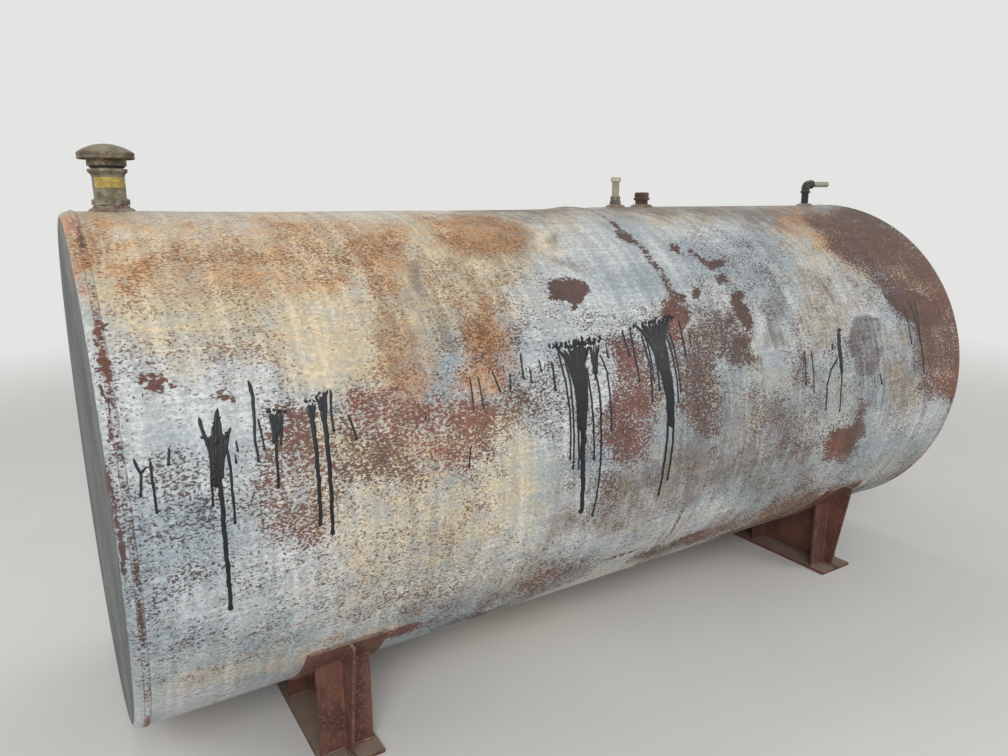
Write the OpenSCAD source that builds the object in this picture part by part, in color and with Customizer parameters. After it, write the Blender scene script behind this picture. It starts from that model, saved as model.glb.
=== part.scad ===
// Horizontal steel storage tank with flat flanged heads, top fittings and two low saddles.
// Millimetres. The origin is on the floor under the middle of the tank, +X runs along the
// tank to its far end, -Y is the front and +Z is up.

/* [Tank] */
// Outside diameter of the shell
tank_d = 1219; // [1000:1:1500]
// Overall length over the two flat heads
tank_len = 2743; // [2200:1:3600]
// Distance of the girth seam from the near head
girth_x = 1422; // [1100:1:1750]
// Thickness of the rolled shell plate
shell_t = 4.8; // [3:0.1:8]
// Thickness of the head plate
head_t = 4.8; // [3:0.1:8]
// Outside radius of the knuckle around each head
knuckle_r = 15; // [10:1:30]
// Straight flange behind the knuckle
head_flange = 8; // [5:1:20]

/* [Weld beads] */
// Gap between plate edges that the weld fills
root_gap = 3; // [2:0.5:5]
// Width of a butt weld's cap
cap_w = 14; // [10:1:20]
// Height of a butt weld's cap
cap_h = 2.4; // [1:0.1:4]
// Leg of the fillet weld around each bung
fillet_leg = 7; // [4:0.5:10]
// Turn of the near course's long seam away from the top, towards the back
near_seam_turn = 62; // [40:1:85]
// Turn of the far course's long seam away from the top, towards the back
far_seam_turn = 48; // [40:1:85]

/* [Emergency vent] */
// Distance of the vent from the near head
vent_x = 109; // [85:1:180]
// Outside diameter of the vent's neck
neck_d = 68; // [60:1:90]
// Bore of the vent's neck
neck_bore = 52; // [40:1:54]
// Height of the vent's weld-in bung over the shell
vent_bung_h = 12; // [8:1:24]
// Height of the wrench hexagon
vent_hex_h = 16; // [10:1:24]
// Width of the wrench hexagon across its flats
vent_hex_af = 70; // [62:1:92]
// Height of the plain neck over the hexagon
neck_h = 52; // [44:1:80]
// Height of the flare under the seat flange
flare_h = 8; // [5:1:14]
// Outside diameter of the seat flange
seat_d = 84; // [80:1:110]
// Thickness of the seat flange
seat_flange_t = 6; // [4:1:10]
// Height of the raised seat lip
seat_lip_h = 2.5; // [1.5:0.5:4]
// Thickness of the rubber seal
seal_t = 4; // [3:0.5:6]
// Outside diameter of the lid's pallet
pallet_d = 83; // [80:1:110]
// Height of the pallet under the hood
pallet_h = 15; // [10:1:24]
// Outside diameter of the hood
hood_d = 120; // [112:1:150]
// Height of the hood's upright rim
hood_rim_h = 14; // [10:1:20]
// Rise of the hood's dome over its rim
dome_h = 20; // [12:1:30]
// Diameter of the lid's guide stem
stem_d = 8; // [6:0.5:10]
// Lift of the lid to its stop
lid_lift = 30; // [20:1:34]
// Length of the guide boss
guide_h = 24; // [16:1:26]

/* [Vent label] */
// Height of the label band
label_h = 23; // [14:1:30]
// Height of the label's lower edge over the shell
label_z = 52; // [32:1:56]
// Part of the neck that the label goes around, in degrees
label_wrap = 165; // [90:1:240]
// Place of the label's first edge, in degrees from the tank's axis towards the front
label_start = 155; // [90:1:180]
// Thickness of the label
label_t = 0.4; // [0.2:0.1:1]

/* [Level gauge] */
// Distance of the gauge from the girth seam
gauge_from_girth = 197; // [120:1:230]
// Outside diameter of the gauge's weld-in bung
gauge_bung_d = 46; // [42:1:60]
// Width of the gauge body's hexagon across its flats
gauge_hex_af = 34; // [32:1:44]
// Height of the gauge body's hexagon
gauge_hex_h = 12; // [8:1:20]
// Diameter of the gauge body's collar
gauge_collar_d = 33; // [28:1:40]
// Height of the gauge body's collar
gauge_collar_h = 14; // [8:1:24]
// Outside diameter of the sight tube
sight_d = 24; // [18:1:27]
// Height of the sight tube
sight_h = 48; // [30:1:80]
// Wall of the sight tube
sight_t = 2.5; // [1.5:0.5:3]
// Diameter of the gauge cap
gauge_cap_d = 34; // [28:1:44]
// Height of the gauge cap
gauge_cap_h = 14; // [10:1:24]

/* [Fill pipe] */
// Distance of the fill pipe from the girth seam
fill_from_girth = 313; // [290:1:480]
// Outside diameter of the fill pipe
fill_pipe_d = 42.2; // [33.4:0.1:48.3]
// Height of the fill pipe over its bung
fill_pipe_h = 30; // [22:1:60]
// Outside diameter of the screwed cap
fill_cap_d = 49; // [48:1:60]
// Height of the screwed cap
fill_cap_h = 26; // [18:1:34]
// Reach of the band around the cap's mouth past its side
fill_band = 2.5; // [1.5:0.5:5]

/* [Draw pipe] */
// Distance of the draw pipe's riser from the far head
draw_from_far = 143; // [120:1:260]
// Outside diameter of the riser
riser_d = 26.7; // [21.3:0.1:33.4]
// Height of the riser over its bung
riser_h = 40; // [30:1:120]
// Outside diameter of the level nipple
nipple_d = 21.3; // [17.2:0.1:26.7]
// Length of the nipple from the elbow to its open end
nipple_len = 98; // [60:1:100]
// Radius on the inside of the elbow's bend
bend_throat_r = 0.65; // [0.5:0.05:12]
// Length of each elbow socket past the bend
socket_len = 18; // [14:1:26]
// Wall of the pipes
pipe_t = 2.9; // [2:0.1:4]

/* [Bungs] */
// Wall of a weld-in bung around what screws into it
bung_wall = 9; // [6:0.5:12]
// Height of the three small bungs over the shell
bung_h = 8; // [6:1:16]
// Depth of a bung below the top of the shell
bung_depth = 16; // [10:1:30]

/* [Saddles] */
// Distance of each saddle's web from its head
saddle_inset = 450; // [300:1:650]
// Clear height of the shell over the floor
floor_clear = 78; // [60:1:200]
// Part of the shell that a saddle wraps, in degrees
saddle_wrap = 108; // [90:1:130]
// Width of the wear plate along the tank
wear_w = 190; // [120:1:260]
// Thickness of the wear plate
wear_t = 6; // [4:1:12]
// Thickness of the web plate
web_t = 8; // [6:1:14]
// Inset of each end of the base plate from the saddle's tip
base_inset = 8; // [0:1:40]
// Width of the base plate along the tank
base_w = 150; // [130:1:220]
// Thickness of the base plate
base_t = 10; // [8:1:20]
// Inset of the web's foot from each end of the base plate
web_foot_inset = 22; // [15:1:40]
// Reach of the web's upper corners past the wear plate's tips
web_tip_w = 24; // [10:1:40]
// Thickness of a rib
rib_t = 8; // [6:1:12]
// Distance of the inner ribs from the middle of the tank
inner_rib_y = 165; // [120:1:240]
// Inset of the outer ribs from the saddle's tips
outer_rib_inset = 66; // [50:1:90]
// Inset of the ribs' outer edges from the edge of the base plate
rib_edge = 8; // [4:1:20]
// Diameter of an anchor hole
anchor_d = 18; // [14:1:24]
// Inset of an anchor hole from the end of the base plate
anchor_inset = 110; // [90:1:180]
// Distance of an anchor hole from the web, towards its head
anchor_off = 42; // [30:1:52]

/* [Hidden] */

// Clearances: on a plain seat, in a screwed joint, under a fitted plate and around the stem
seat_gap = 0.1;
screw_gap = 0.3;
plate_gap = 0.3;
stem_gap = 0.05;
// Length by which a cut runs past what it cuts
over = 1;

// Round parts are drawn with these numbers of sides
$fn = 72;
tank_fn = 480;

tank_r = tank_d / 2;
axis_z = floor_clear + tank_r;
top_z = axis_z + tank_r;
near_x = -tank_len / 2;
far_x = tank_len / 2;
seam_x = near_x + girth_x;
head_depth = knuckle_r + head_flange;

vent_pos = near_x + vent_x;
gauge_pos = seam_x + gauge_from_girth;
fill_pos = seam_x + fill_from_girth;
draw_pos = far_x - draw_from_far;

// Heights of the vent's parts over the top of the shell
vent_tail_d = neck_bore + 8;
vent_bung_d = vent_tail_d + 2 * bung_wall + 2 * screw_gap;
hex_z = vent_bung_h;
neck_z = hex_z + vent_hex_h;
flare_z = neck_z + neck_h;
flange_z = flare_z + flare_h;
lip_z = flange_z + seat_flange_t;
seal_z = lip_z + seat_lip_h + screw_gap;
pallet_z = seal_z + seal_t;
hood_z = pallet_z + pallet_h;
dome_z = hood_z + hood_rim_h;
lip_r = neck_d / 2 - 1;
lip_w = 5;
rim_w = 4;
rim_round = 3;
groove_h = 6;
groove_web = 4;
guide_d = neck_bore + 4;
guide_ring_h = 8;
guide_ring_w = 4;
arm_w = 4;
guide_boss_d = 18;
guide_z = flare_z - 18;
guide_boss_z = guide_z + guide_ring_h - guide_h + 6;
nut_h = 6.5;
nut_af = 13;
nut_z = guide_boss_z - lid_lift - screw_gap - nut_h;
stem_tail = 3;
stem_socket = 11;

gauge_tail_d = gauge_bung_d - 2 * bung_wall;
sight_z = bung_h + gauge_hex_h + gauge_collar_h;
gauge_rod_d = 3;
indicator_h = 7;

fill_tail_d = fill_pipe_d - 2.6;
fill_bung_d = fill_tail_d + 2 * bung_wall;
fill_pipe_bore = fill_pipe_d - 7;
fill_cap_lap = 16;

riser_tail_d = riser_d - 2.6;
draw_bung_d = riser_tail_d + 2 * bung_wall;
nipple_tail_d = nipple_d - 2.2;
tail_len = 12;
elbow_body_d = riser_d + 4;
bend_r = elbow_body_d / 2 + bend_throat_r;
elbow_z = bung_h + riser_h + socket_len + bend_r;
elbow_x = bend_r + socket_len;

wear_in_r = tank_r + plate_gap;
wear_out_r = wear_in_r + wear_t;
web_in_r = wear_out_r + plate_gap;
tip_y = wear_out_r * sin(saddle_wrap / 2);
tip_z = axis_z - wear_out_r * cos(saddle_wrap / 2);
base_y = tip_y - base_inset;
anchor_y = base_y - anchor_inset;
outer_rib_y = tip_y - outer_rib_inset;
near_saddle_x = near_x + saddle_inset;
far_saddle_x = far_x - saddle_inset;

// Turns a piece that was drawn along +Z so that it lies along +X on the tank's axis
module along_tank(x) {
    translate([x, 0, axis_z]) rotate([0, 90, 0]) children();
}

// Stands a piece on the top of the shell
module on_top(x) {
    translate([x, 0, top_z]) children();
}

// Rectangle that starts on the axis and has its two outer corners rounded
module rounded_disc(r, h, k) {
    square([r - k, h]);
    translate([0, k]) square([r, h - 2 * k]);
    translate([r - k, k]) circle(k);
    translate([r - k, h - k]) circle(k);
}

// Hexagon for a wrench, with its upper corners turned down to a circle
module wrench_hexagon(af, h) {
    top_r = 0.475 * af;
    outer_r = 0.6 * af;
    intersection() {
        cylinder(d = af / cos(30), h = h, $fn = 6);
        rotate_extrude() polygon([[0, 0], [outer_r, 0], [outer_r, h - (outer_r - top_r) * tan(30)], [top_r, h], [0, h]]);
    }
}

// Circle that carries the crown of a butt weld's cap, drawn on the shell's outline
module cap_crown() {
    crown_r = (pow(cap_w / 2, 2) + pow(cap_h, 2)) / (2 * cap_h);
    translate([tank_r + cap_h - crown_r, 0]) circle(crown_r);
}

// Flat disc, knuckle and straight flange, each starting on the face where the last one ends
module flanged_head() {
    flat_r = tank_r - knuckle_r;
    rotate_extrude($fn = tank_fn) {
        square([flat_r, head_t]);
        translate([flat_r, knuckle_r]) intersection() {
            difference() {
                circle(knuckle_r);
                circle(knuckle_r - head_t);
            }
            translate([0, -knuckle_r]) square(knuckle_r);
        }
        translate([tank_r - head_t, knuckle_r]) square([head_t, head_flange]);
    }
}

// Butt weld around the tank: the root between the plates and the crowned cap over them
module ring_weld() {
    rotate_extrude($fn = tank_fn) {
        difference() {
            cap_crown();
            translate([0, -cap_w]) square([tank_r + seat_gap, 2 * cap_w]);
        }
        translate([tank_r - shell_t, -root_gap / 2]) square([shell_t + cap_h / 2, root_gap]);
    }
}

// Section of the shell between two plate edges, with the gap of its long seam
module course_section(seam_turn) {
    difference() {
        circle(tank_r, $fn = tank_fn);
        circle(tank_r - shell_t, $fn = tank_fn);
        long_seam_slab(seam_turn);
    }
}

module long_seam_slab(seam_turn) {
    seam_direction(seam_turn) translate([tank_r / 2, -root_gap / 2]) square([tank_r, root_gap]);
}

// Turns the section's +X to the long seam: the top of the tank is at -X here, the back at +Y
module seam_direction(seam_turn) {
    rotate(180 - seam_turn) children();
}

module shell_course(x0, x1, seam_turn) {
    along_tank(x0) linear_extrude(x1 - x0) course_section(seam_turn);
}

// Long seam: the root fills the gap, and the cap stops short of the ring welds' caps
module long_weld(x0, x1, seam_turn) {
    along_tank(x0) linear_extrude(x1 - x0) intersection() {
        difference() {
            circle(tank_r, $fn = tank_fn);
            circle(tank_r - shell_t, $fn = tank_fn);
        }
        long_seam_slab(seam_turn);
    }
    along_tank(x0 + cap_w / 2) linear_extrude(x1 - x0 - cap_w) {
        difference() {
            seam_direction(seam_turn) cap_crown();
            circle(tank_r + seat_gap, $fn = tank_fn);
        }
        seam_direction(seam_turn) translate([tank_r - shell_t / 2, -root_gap / 2])
            square([shell_t / 2 + cap_h / 2, root_gap]);
    }
}

// Hole through the shell for a bung
module bung_hole(x, d) {
    on_top(x) translate([0, 0, -bung_depth - over]) cylinder(d = d + 2 * screw_gap, h = bung_depth + 2 * over);
}

// Weld-in bung with its fillet weld, cut to the curve of the shell
module bung(x, d, bore, h) {
    difference() {
        union() {
            on_top(x) translate([0, 0, -bung_depth]) cylinder(d = d, h = h + bung_depth);
            difference() {
                on_top(x) rotate_extrude() polygon([
                    [d / 2 - over, fillet_leg], [d / 2, fillet_leg],
                    [d / 2 + 1.5 * fillet_leg, -fillet_leg / 2],
                    [d / 2 + 1.5 * fillet_leg, -fillet_leg], [d / 2 - over, -fillet_leg]
                ]);
                along_tank(x - d) cylinder(r = tank_r + seat_gap, h = 2 * d, $fn = tank_fn);
            }
        }
        on_top(x) translate([0, 0, -bung_depth - over]) cylinder(d = bore, h = h + bung_depth + 2 * over);
    }
}

// Straight pipe with a reduced tail at its foot, its top or both
module pipe(d, bore, len, foot_tail, top_tail, tail_d) {
    difference() {
        union() {
            cylinder(d = d, h = len);
            translate([0, 0, -foot_tail]) cylinder(d = tail_d, h = foot_tail + over);
            translate([0, 0, len - over]) cylinder(d = tail_d, h = top_tail + over);
        }
        translate([0, 0, -foot_tail - over]) cylinder(d = bore, h = len + foot_tail + top_tail + 2 * over);
    }
}

module near_shell_course() {
    color("lightsteelblue") difference() {
        shell_course(near_x + head_depth + root_gap, seam_x - root_gap / 2, near_seam_turn);
        bung_hole(vent_pos, vent_bung_d);
    }
}

module far_shell_course() {
    color("lightsteelblue") difference() {
        shell_course(seam_x + root_gap / 2, far_x - head_depth - root_gap, far_seam_turn);
        bung_hole(gauge_pos, gauge_bung_d);
        bung_hole(fill_pos, fill_bung_d);
        bung_hole(draw_pos, draw_bung_d);
    }
}

module near_head() {
    color("slategray") along_tank(near_x) flanged_head();
}

module far_head() {
    color("slategray") mirror([1, 0, 0]) along_tank(-far_x) flanged_head();
}

module near_head_weld() {
    color("rosybrown") along_tank(near_x + head_depth + root_gap / 2) ring_weld();
}

module far_head_weld() {
    color("rosybrown") along_tank(far_x - head_depth - root_gap / 2) ring_weld();
}

module girth_weld() {
    color("lightgray") along_tank(seam_x) ring_weld();
}

module near_long_weld() {
    color("lightgray") long_weld(near_x + head_depth + root_gap, seam_x - root_gap / 2, near_seam_turn);
}

module far_long_weld() {
    color("lightgray") long_weld(seam_x + root_gap / 2, far_x - head_depth - root_gap, far_seam_turn);
}

module vent_bung() {
    color("dimgray") bung(vent_pos, vent_bung_d, vent_tail_d + 2 * screw_gap, vent_bung_h);
}

// Cast body: screwed tail, wrench hexagon, neck, flare, seat flange and raised seat lip
module vent_body() {
    color("darkgray") on_top(vent_pos) difference() {
        union() {
            cylinder(d = vent_tail_d, h = hex_z + over);
            translate([0, 0, hex_z]) wrench_hexagon(vent_hex_af, vent_hex_h);
            rotate_extrude() polygon([
                [neck_bore / 2, neck_z - over], [neck_d / 2, neck_z - over], [neck_d / 2, flare_z],
                [seat_d / 2, flange_z], [seat_d / 2, lip_z], [lip_r, lip_z],
                [lip_r, lip_z + seat_lip_h], [lip_r - lip_w, lip_z + seat_lip_h],
                [lip_r - lip_w, lip_z], [neck_bore / 2, lip_z]
            ]);
        }
        translate([0, 0, -over]) cylinder(d = neck_bore, h = lip_z + 2 * over);
        translate([0, 0, guide_z]) cylinder(d = guide_d + 2 * screw_gap, h = lip_z);
    }
}

// Spider that guides the stem: a ring on the body's ledge, three arms and a bored boss
module vent_guide() {
    color("goldenrod") on_top(vent_pos) difference() {
        union() {
            translate([0, 0, guide_boss_z]) cylinder(d = guide_boss_d, h = guide_h);
            translate([0, 0, guide_z]) {
                difference() {
                    cylinder(d = guide_d, h = guide_ring_h);
                    translate([0, 0, -over]) cylinder(d = guide_d - 2 * guide_ring_w, h = guide_ring_h + 2 * over);
                }
                for (turn = [0 : 120 : 240]) rotate(turn) translate([guide_boss_d / 2 - over, -arm_w / 2, 0])
                    cube([(guide_d - guide_boss_d - guide_ring_w) / 2 + over, arm_w, guide_ring_h]);
            }
        }
        translate([0, 0, guide_boss_z - over]) cylinder(d = stem_d + 2 * stem_gap, h = guide_h + 2 * over);
    }
}

// Bare label band around the neck, which starts on its left side as seen from the front
module vent_label() {
    color("gold") on_top(vent_pos) rotate(-label_start) translate([0, 0, label_z]) rotate_extrude(angle = label_wrap)
        translate([neck_d / 2 + seat_gap, 0]) square([label_t, label_h]);
}

// Cast lid: flat pallet, hood with an upright rim and a drip groove under it, and the dome
module vent_lid() {
    dome_r = (pow(hood_d / 2, 2) + pow(dome_h, 2)) / (2 * dome_h);
    color("gray") on_top(vent_pos) difference() {
        rotate_extrude() difference() {
            union() {
                translate([0, pallet_z]) square([pallet_d / 2, pallet_h + over]);
                translate([0, hood_z]) rounded_disc(hood_d / 2, hood_rim_h + 2, rim_round);
                intersection() {
                    translate([0, dome_z + dome_h - dome_r]) circle(dome_r, $fn = 180);
                    translate([0, dome_z]) square([hood_d / 2 - rim_round, dome_h + over]);
                }
            }
            translate([(pallet_d + groove_web) / 2, hood_z - over])
                square([(hood_d - pallet_d - groove_web) / 2 - rim_w, groove_h + over]);
        }
        translate([0, 0, pallet_z - over]) cylinder(d = stem_d + 2 * seat_gap, h = stem_socket + over);
    }
}

module vent_seal() {
    color("black") on_top(vent_pos) translate([0, 0, seal_z]) difference() {
        cylinder(r = lip_r + 4, h = seal_t);
        translate([0, 0, -over]) cylinder(r = lip_r - lip_w - 2, h = seal_t + 2 * over);
    }
}

module vent_stem() {
    color("silver") on_top(vent_pos) translate([0, 0, nut_z - stem_tail])
        cylinder(d = stem_d, h = pallet_z + stem_socket - seat_gap - nut_z + stem_tail);
}

module vent_stop_nut() {
    color("silver") on_top(vent_pos) translate([0, 0, nut_z]) difference() {
        wrench_hexagon(nut_af, nut_h);
        translate([0, 0, -over]) cylinder(d = stem_d + 2 * seat_gap, h = nut_h + 2 * over);
    }
}

module gauge_bung() {
    color("dimgray") bung(gauge_pos, gauge_bung_d, gauge_tail_d + 2 * screw_gap, bung_h);
}

// Gauge body: screwed tail, hexagon, collar and the recess that the indicator sinks into
module gauge_body() {
    color("darkkhaki") on_top(gauge_pos) difference() {
        union() {
            cylinder(d = gauge_tail_d, h = bung_h + over);
            translate([0, 0, bung_h]) wrench_hexagon(gauge_hex_af, gauge_hex_h);
            translate([0, 0, bung_h + gauge_hex_h - over]) cylinder(d = gauge_collar_d, h = gauge_collar_h + over);
        }
        translate([0, 0, -over]) cylinder(d = gauge_rod_d + 2 * screw_gap, h = sight_z + 2 * over);
        translate([0, 0, sight_z - indicator_h]) cylinder(d = sight_d - 2 * sight_t, h = indicator_h + over);
    }
}

module gauge_sight_tube() {
    color("khaki") on_top(gauge_pos) translate([0, 0, sight_z]) difference() {
        cylinder(d = sight_d, h = sight_h);
        translate([0, 0, -over]) cylinder(d = sight_d - 2 * sight_t, h = sight_h + 2 * over);
    }
}

module gauge_indicator() {
    color("firebrick") on_top(gauge_pos) {
        translate([0, 0, -bung_depth]) cylinder(d = gauge_rod_d, h = bung_depth + sight_z + sight_h / 3);
        translate([0, 0, sight_z + sight_h / 3]) cylinder(d = sight_d - 2 * sight_t - 2, h = indicator_h);
    }
}

module gauge_cap() {
    color("whitesmoke") on_top(gauge_pos) translate([0, 0, sight_z + sight_h])
        rotate_extrude() rounded_disc(gauge_cap_d / 2, gauge_cap_h, 2);
}

module fill_bung() {
    color("dimgray") bung(fill_pos, fill_bung_d, fill_tail_d + 2 * screw_gap, bung_h);
}

module fill_pipe() {
    color("sienna") on_top(fill_pos) translate([0, 0, bung_h])
        pipe(fill_pipe_d, fill_pipe_bore, fill_pipe_h, tail_len, 0, fill_tail_d);
}

// Screwed cap with a band around its mouth, which laps over the end of the fill pipe
module fill_cap() {
    cap_z = bung_h + fill_pipe_h - fill_cap_lap;
    color("saddlebrown") on_top(fill_pos) translate([0, 0, cap_z]) difference() {
        union() {
            rotate_extrude() rounded_disc(fill_cap_d / 2, fill_cap_h, 2.5);
            rounded_band(fill_cap_d + 2 * fill_band, 7);
        }
        translate([0, 0, -over]) cylinder(d = fill_pipe_d + 2 * screw_gap, h = fill_cap_lap + screw_gap + over);
    }
}

module draw_bung() {
    color("dimgray") bung(draw_pos, draw_bung_d, riser_tail_d + 2 * screw_gap, bung_h);
}

module draw_riser() {
    color("dimgray") on_top(draw_pos) translate([0, 0, bung_h])
        pipe(riser_d, riser_d - 2 * pipe_t, riser_h, tail_len, tail_len, riser_tail_d);
}

// Reducing elbow with a banded socket at each end, hollow along its bend
module draw_elbow() {
    band_len = 8;
    bore = nipple_d - 2 * pipe_t;
    color("dimgray") on_top(draw_pos) translate([0, 0, elbow_z - elbow_x]) difference() {
        union() {
            cylinder(d = elbow_body_d, h = socket_len);
            bend(elbow_body_d);
            level_end(socket_len) cylinder(d = elbow_body_d, h = socket_len);
            rounded_band(riser_d + 10, band_len);
            level_end(band_len) rounded_band(riser_d + 7, band_len);
        }
        translate([0, 0, -over]) cylinder(d = riser_tail_d + 2 * screw_gap, h = tail_len + screw_gap + over);
        cylinder(d = bore, h = socket_len);
        bend(bore);
        level_end(socket_len) cylinder(d = bore, h = socket_len);
        level_end(tail_len + screw_gap)
            cylinder(d = nipple_tail_d + 2 * screw_gap, h = tail_len + screw_gap + over);
    }
}

// Lays a piece along +X so that it starts this far inside the elbow's level end
module level_end(inside) {
    translate([elbow_x - inside, 0, elbow_x]) rotate([0, 90, 0]) children();
}

// Quarter turn of a round bar from +Z at the elbow's socket to +X
module bend(d) {
    translate([bend_r, 0, socket_len]) rotate([90, 0, 0]) rotate([0, 0, 90])
        rotate_extrude(angle = 90) translate([bend_r, 0]) circle(d = d);
}

module rounded_band(d, h) {
    rotate_extrude() rounded_disc(d / 2, h, 1.5);
}

module draw_nipple() {
    color("lightgray") on_top(draw_pos) translate([elbow_x, 0, elbow_z]) rotate([0, 90, 0])
        pipe(nipple_d, nipple_d - 2 * pipe_t, nipple_len, tail_len, 0, nipple_tail_d);
}

// Wear plate rolled to the shell
module saddle_wear_plate(x) {
    color("indianred") along_tank(x - wear_w / 2) rotate(-saddle_wrap / 2)
        rotate_extrude(angle = saddle_wrap, $fn = tank_fn) translate([wear_in_r, 0]) square([wear_t, wear_w]);
}

// Web plate across the tank, cut to the wear plate, with sides that lean out to its tips
module saddle_web(x) {
    foot_y = base_y - web_foot_inset;
    corner_y = tip_y + web_tip_w;
    color("brown") difference() {
        translate([x - web_t / 2, 0, 0]) rotate([90, 0, 90]) linear_extrude(web_t)
            polygon([[-foot_y, base_t], [foot_y, base_t], [corner_y, tip_z], [-corner_y, tip_z]]);
        along_tank(x - web_t) cylinder(r = web_in_r, h = 2 * web_t, $fn = tank_fn);
    }
}

module saddle_base(x, side) {
    color("brown") difference() {
        translate([x - base_w / 2, -base_y, 0]) cube([base_w, 2 * base_y, base_t]);
        for (y = [-anchor_y, anchor_y]) translate([x + side * anchor_off, y, -over])
            cylinder(d = anchor_d, h = base_t + 2 * over);
    }
}

// Ribs between the base and the wear plate, on both faces of the web
module saddle_ribs(x) {
    rib_len = (base_w - web_t) / 2 - rib_edge - plate_gap;
    color("brown") difference() {
        for (y = [-outer_rib_y, -inner_rib_y, inner_rib_y, outer_rib_y], side = [-1, 1])
            translate([x + side * (web_t / 2 + plate_gap + rib_len / 2), y, base_t + axis_z / 2])
                cube([rib_len, rib_t, axis_z], center = true);
        along_tank(x - base_w) cylinder(r = web_in_r, h = 2 * base_w, $fn = tank_fn);
    }
}

module near_saddle_wear_plate() { saddle_wear_plate(near_saddle_x); }
module near_saddle_web() { saddle_web(near_saddle_x); }
module near_saddle_base() { saddle_base(near_saddle_x, -1); }
module near_saddle_ribs() { saddle_ribs(near_saddle_x); }
module far_saddle_wear_plate() { saddle_wear_plate(far_saddle_x); }
module far_saddle_web() { saddle_web(far_saddle_x); }
module far_saddle_base() { saddle_base(far_saddle_x, 1); }
module far_saddle_ribs() { saddle_ribs(far_saddle_x); }

near_shell_course();
far_shell_course();
near_head();
far_head();
near_head_weld();
far_head_weld();
girth_weld();
near_long_weld();
far_long_weld();
vent_bung();
vent_body();
vent_guide();
vent_label();
vent_lid();
vent_seal();
vent_stem();
vent_stop_nut();
gauge_bung();
gauge_body();
gauge_sight_tube();
gauge_indicator();
gauge_cap();
fill_bung();
fill_pipe();
fill_cap();
draw_bung();
draw_riser();
draw_elbow();
draw_nipple();
near_saddle_wear_plate();
near_saddle_web();
near_saddle_base();
near_saddle_ribs();
far_saddle_wear_plate();
far_saddle_web();
far_saddle_base();
far_saddle_ribs();
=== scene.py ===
"""Looks of a horizontal steel storage tank on two saddles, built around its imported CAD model.

Lengths are metres in the row frame: +X runs along the tank to its far end, -Y is the front, +Z is up.
"""
import logging
import math
from collections.abc import Callable, Sequence
from dataclasses import dataclass, field
from enum import Enum

import bpy
import numpy as np
from mathutils import Matrix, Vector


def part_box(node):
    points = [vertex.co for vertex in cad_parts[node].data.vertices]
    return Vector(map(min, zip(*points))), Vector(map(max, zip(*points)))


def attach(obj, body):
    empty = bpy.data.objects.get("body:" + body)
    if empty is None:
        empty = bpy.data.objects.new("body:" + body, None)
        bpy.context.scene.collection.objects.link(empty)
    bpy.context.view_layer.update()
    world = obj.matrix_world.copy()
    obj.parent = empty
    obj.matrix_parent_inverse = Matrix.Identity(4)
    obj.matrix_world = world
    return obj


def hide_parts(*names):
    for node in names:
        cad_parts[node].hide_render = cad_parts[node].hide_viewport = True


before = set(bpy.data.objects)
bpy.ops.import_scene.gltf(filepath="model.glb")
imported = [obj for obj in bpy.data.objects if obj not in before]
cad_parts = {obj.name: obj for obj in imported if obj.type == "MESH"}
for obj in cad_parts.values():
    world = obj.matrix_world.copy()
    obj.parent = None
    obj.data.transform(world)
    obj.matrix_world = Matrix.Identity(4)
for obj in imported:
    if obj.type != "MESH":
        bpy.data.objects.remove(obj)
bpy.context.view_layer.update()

log = logging.getLogger("tank")
MM = 0.001
SEED = 41
Array = np.ndarray
Rng = np.random.Generator


# Numbers and small shapes

def smooth(low: float, high: float, value: Array) -> Array:
    """Step from 0 at low to 1 at high that leaves and arrives level: t squared times (3 - 2 t)."""
    t = np.clip((value - low) / (high - low), 0.0, 1.0)
    return t * t * (3.0 - 2.0 * t)


def wander(along: Array, wave: float, rng: Rng) -> Array:
    """Slow wavering between about -1 and 1: three sines of falling length and random phase.

    Args:
        along: distance along the path.
        wave: the longest wave's length.
        rng: source of the phases.

    Returns:
        The wavering at each distance.
    """
    total = np.zeros_like(along)
    for share, part in ((0.55, 1.0), (0.3, 0.43), (0.15, 0.19)):
        total += share * np.sin(2 * np.pi * along / (wave * part) + rng.uniform(0, 2 * np.pi))
    return total


def crumple(u: Array, v: Array, rng: Rng) -> Array:
    """Uneven change of a mark's outline: sines of both coordinates in random directions, finer ones lower.

    Args:
        u: first coordinate.
        v: second coordinate.
        rng: source of the directions and phases.

    Returns:
        The change at each point, between about -0.5 and 0.5.
    """
    total = np.zeros_like(u)
    for wave in (2.0, 3.3, 5.1, 8.3):
        angle, phase = rng.uniform(0, 2 * np.pi, 2)
        total += 0.45 / wave * np.sin(wave * (u * np.cos(angle) + v * np.sin(angle)) + phase)
    return total


def rounded(corners: Sequence[tuple[float, float, float]], ring: bool = True, steps: int = 4) -> Array:
    """Outline whose corners are replaced by parabolas that touch both edges.

    Args:
        corners: radius, height and rounding of each corner.
        ring: the outline closes on itself; otherwise its two ends stay as they are.
        steps: points on each rounding, less one.

    Returns:
        The outline's points, radius and height, in the corners' unit.
    """
    points = np.array([c[:2] for c in corners], float)
    out: list[Array] = []
    for i, (r, z, size) in enumerate(corners):
        here = points[i]
        if size <= 0 or (not ring and i in (0, len(corners) - 1)):
            out.append(here[None])
            continue
        before, after = points[i - 1] - here, points[(i + 1) % len(points)] - here
        a, b = np.linalg.norm(before), np.linalg.norm(after)
        start, end = here + before / a * min(size, 0.45 * a), here + after / b * min(size, 0.45 * b)
        t = np.linspace(0, 1, steps + 1)[:, None]
        out.append((1 - t) ** 2 * start + 2 * t * (1 - t) * here + t ** 2 * end)
    return np.vstack(out)


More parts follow.
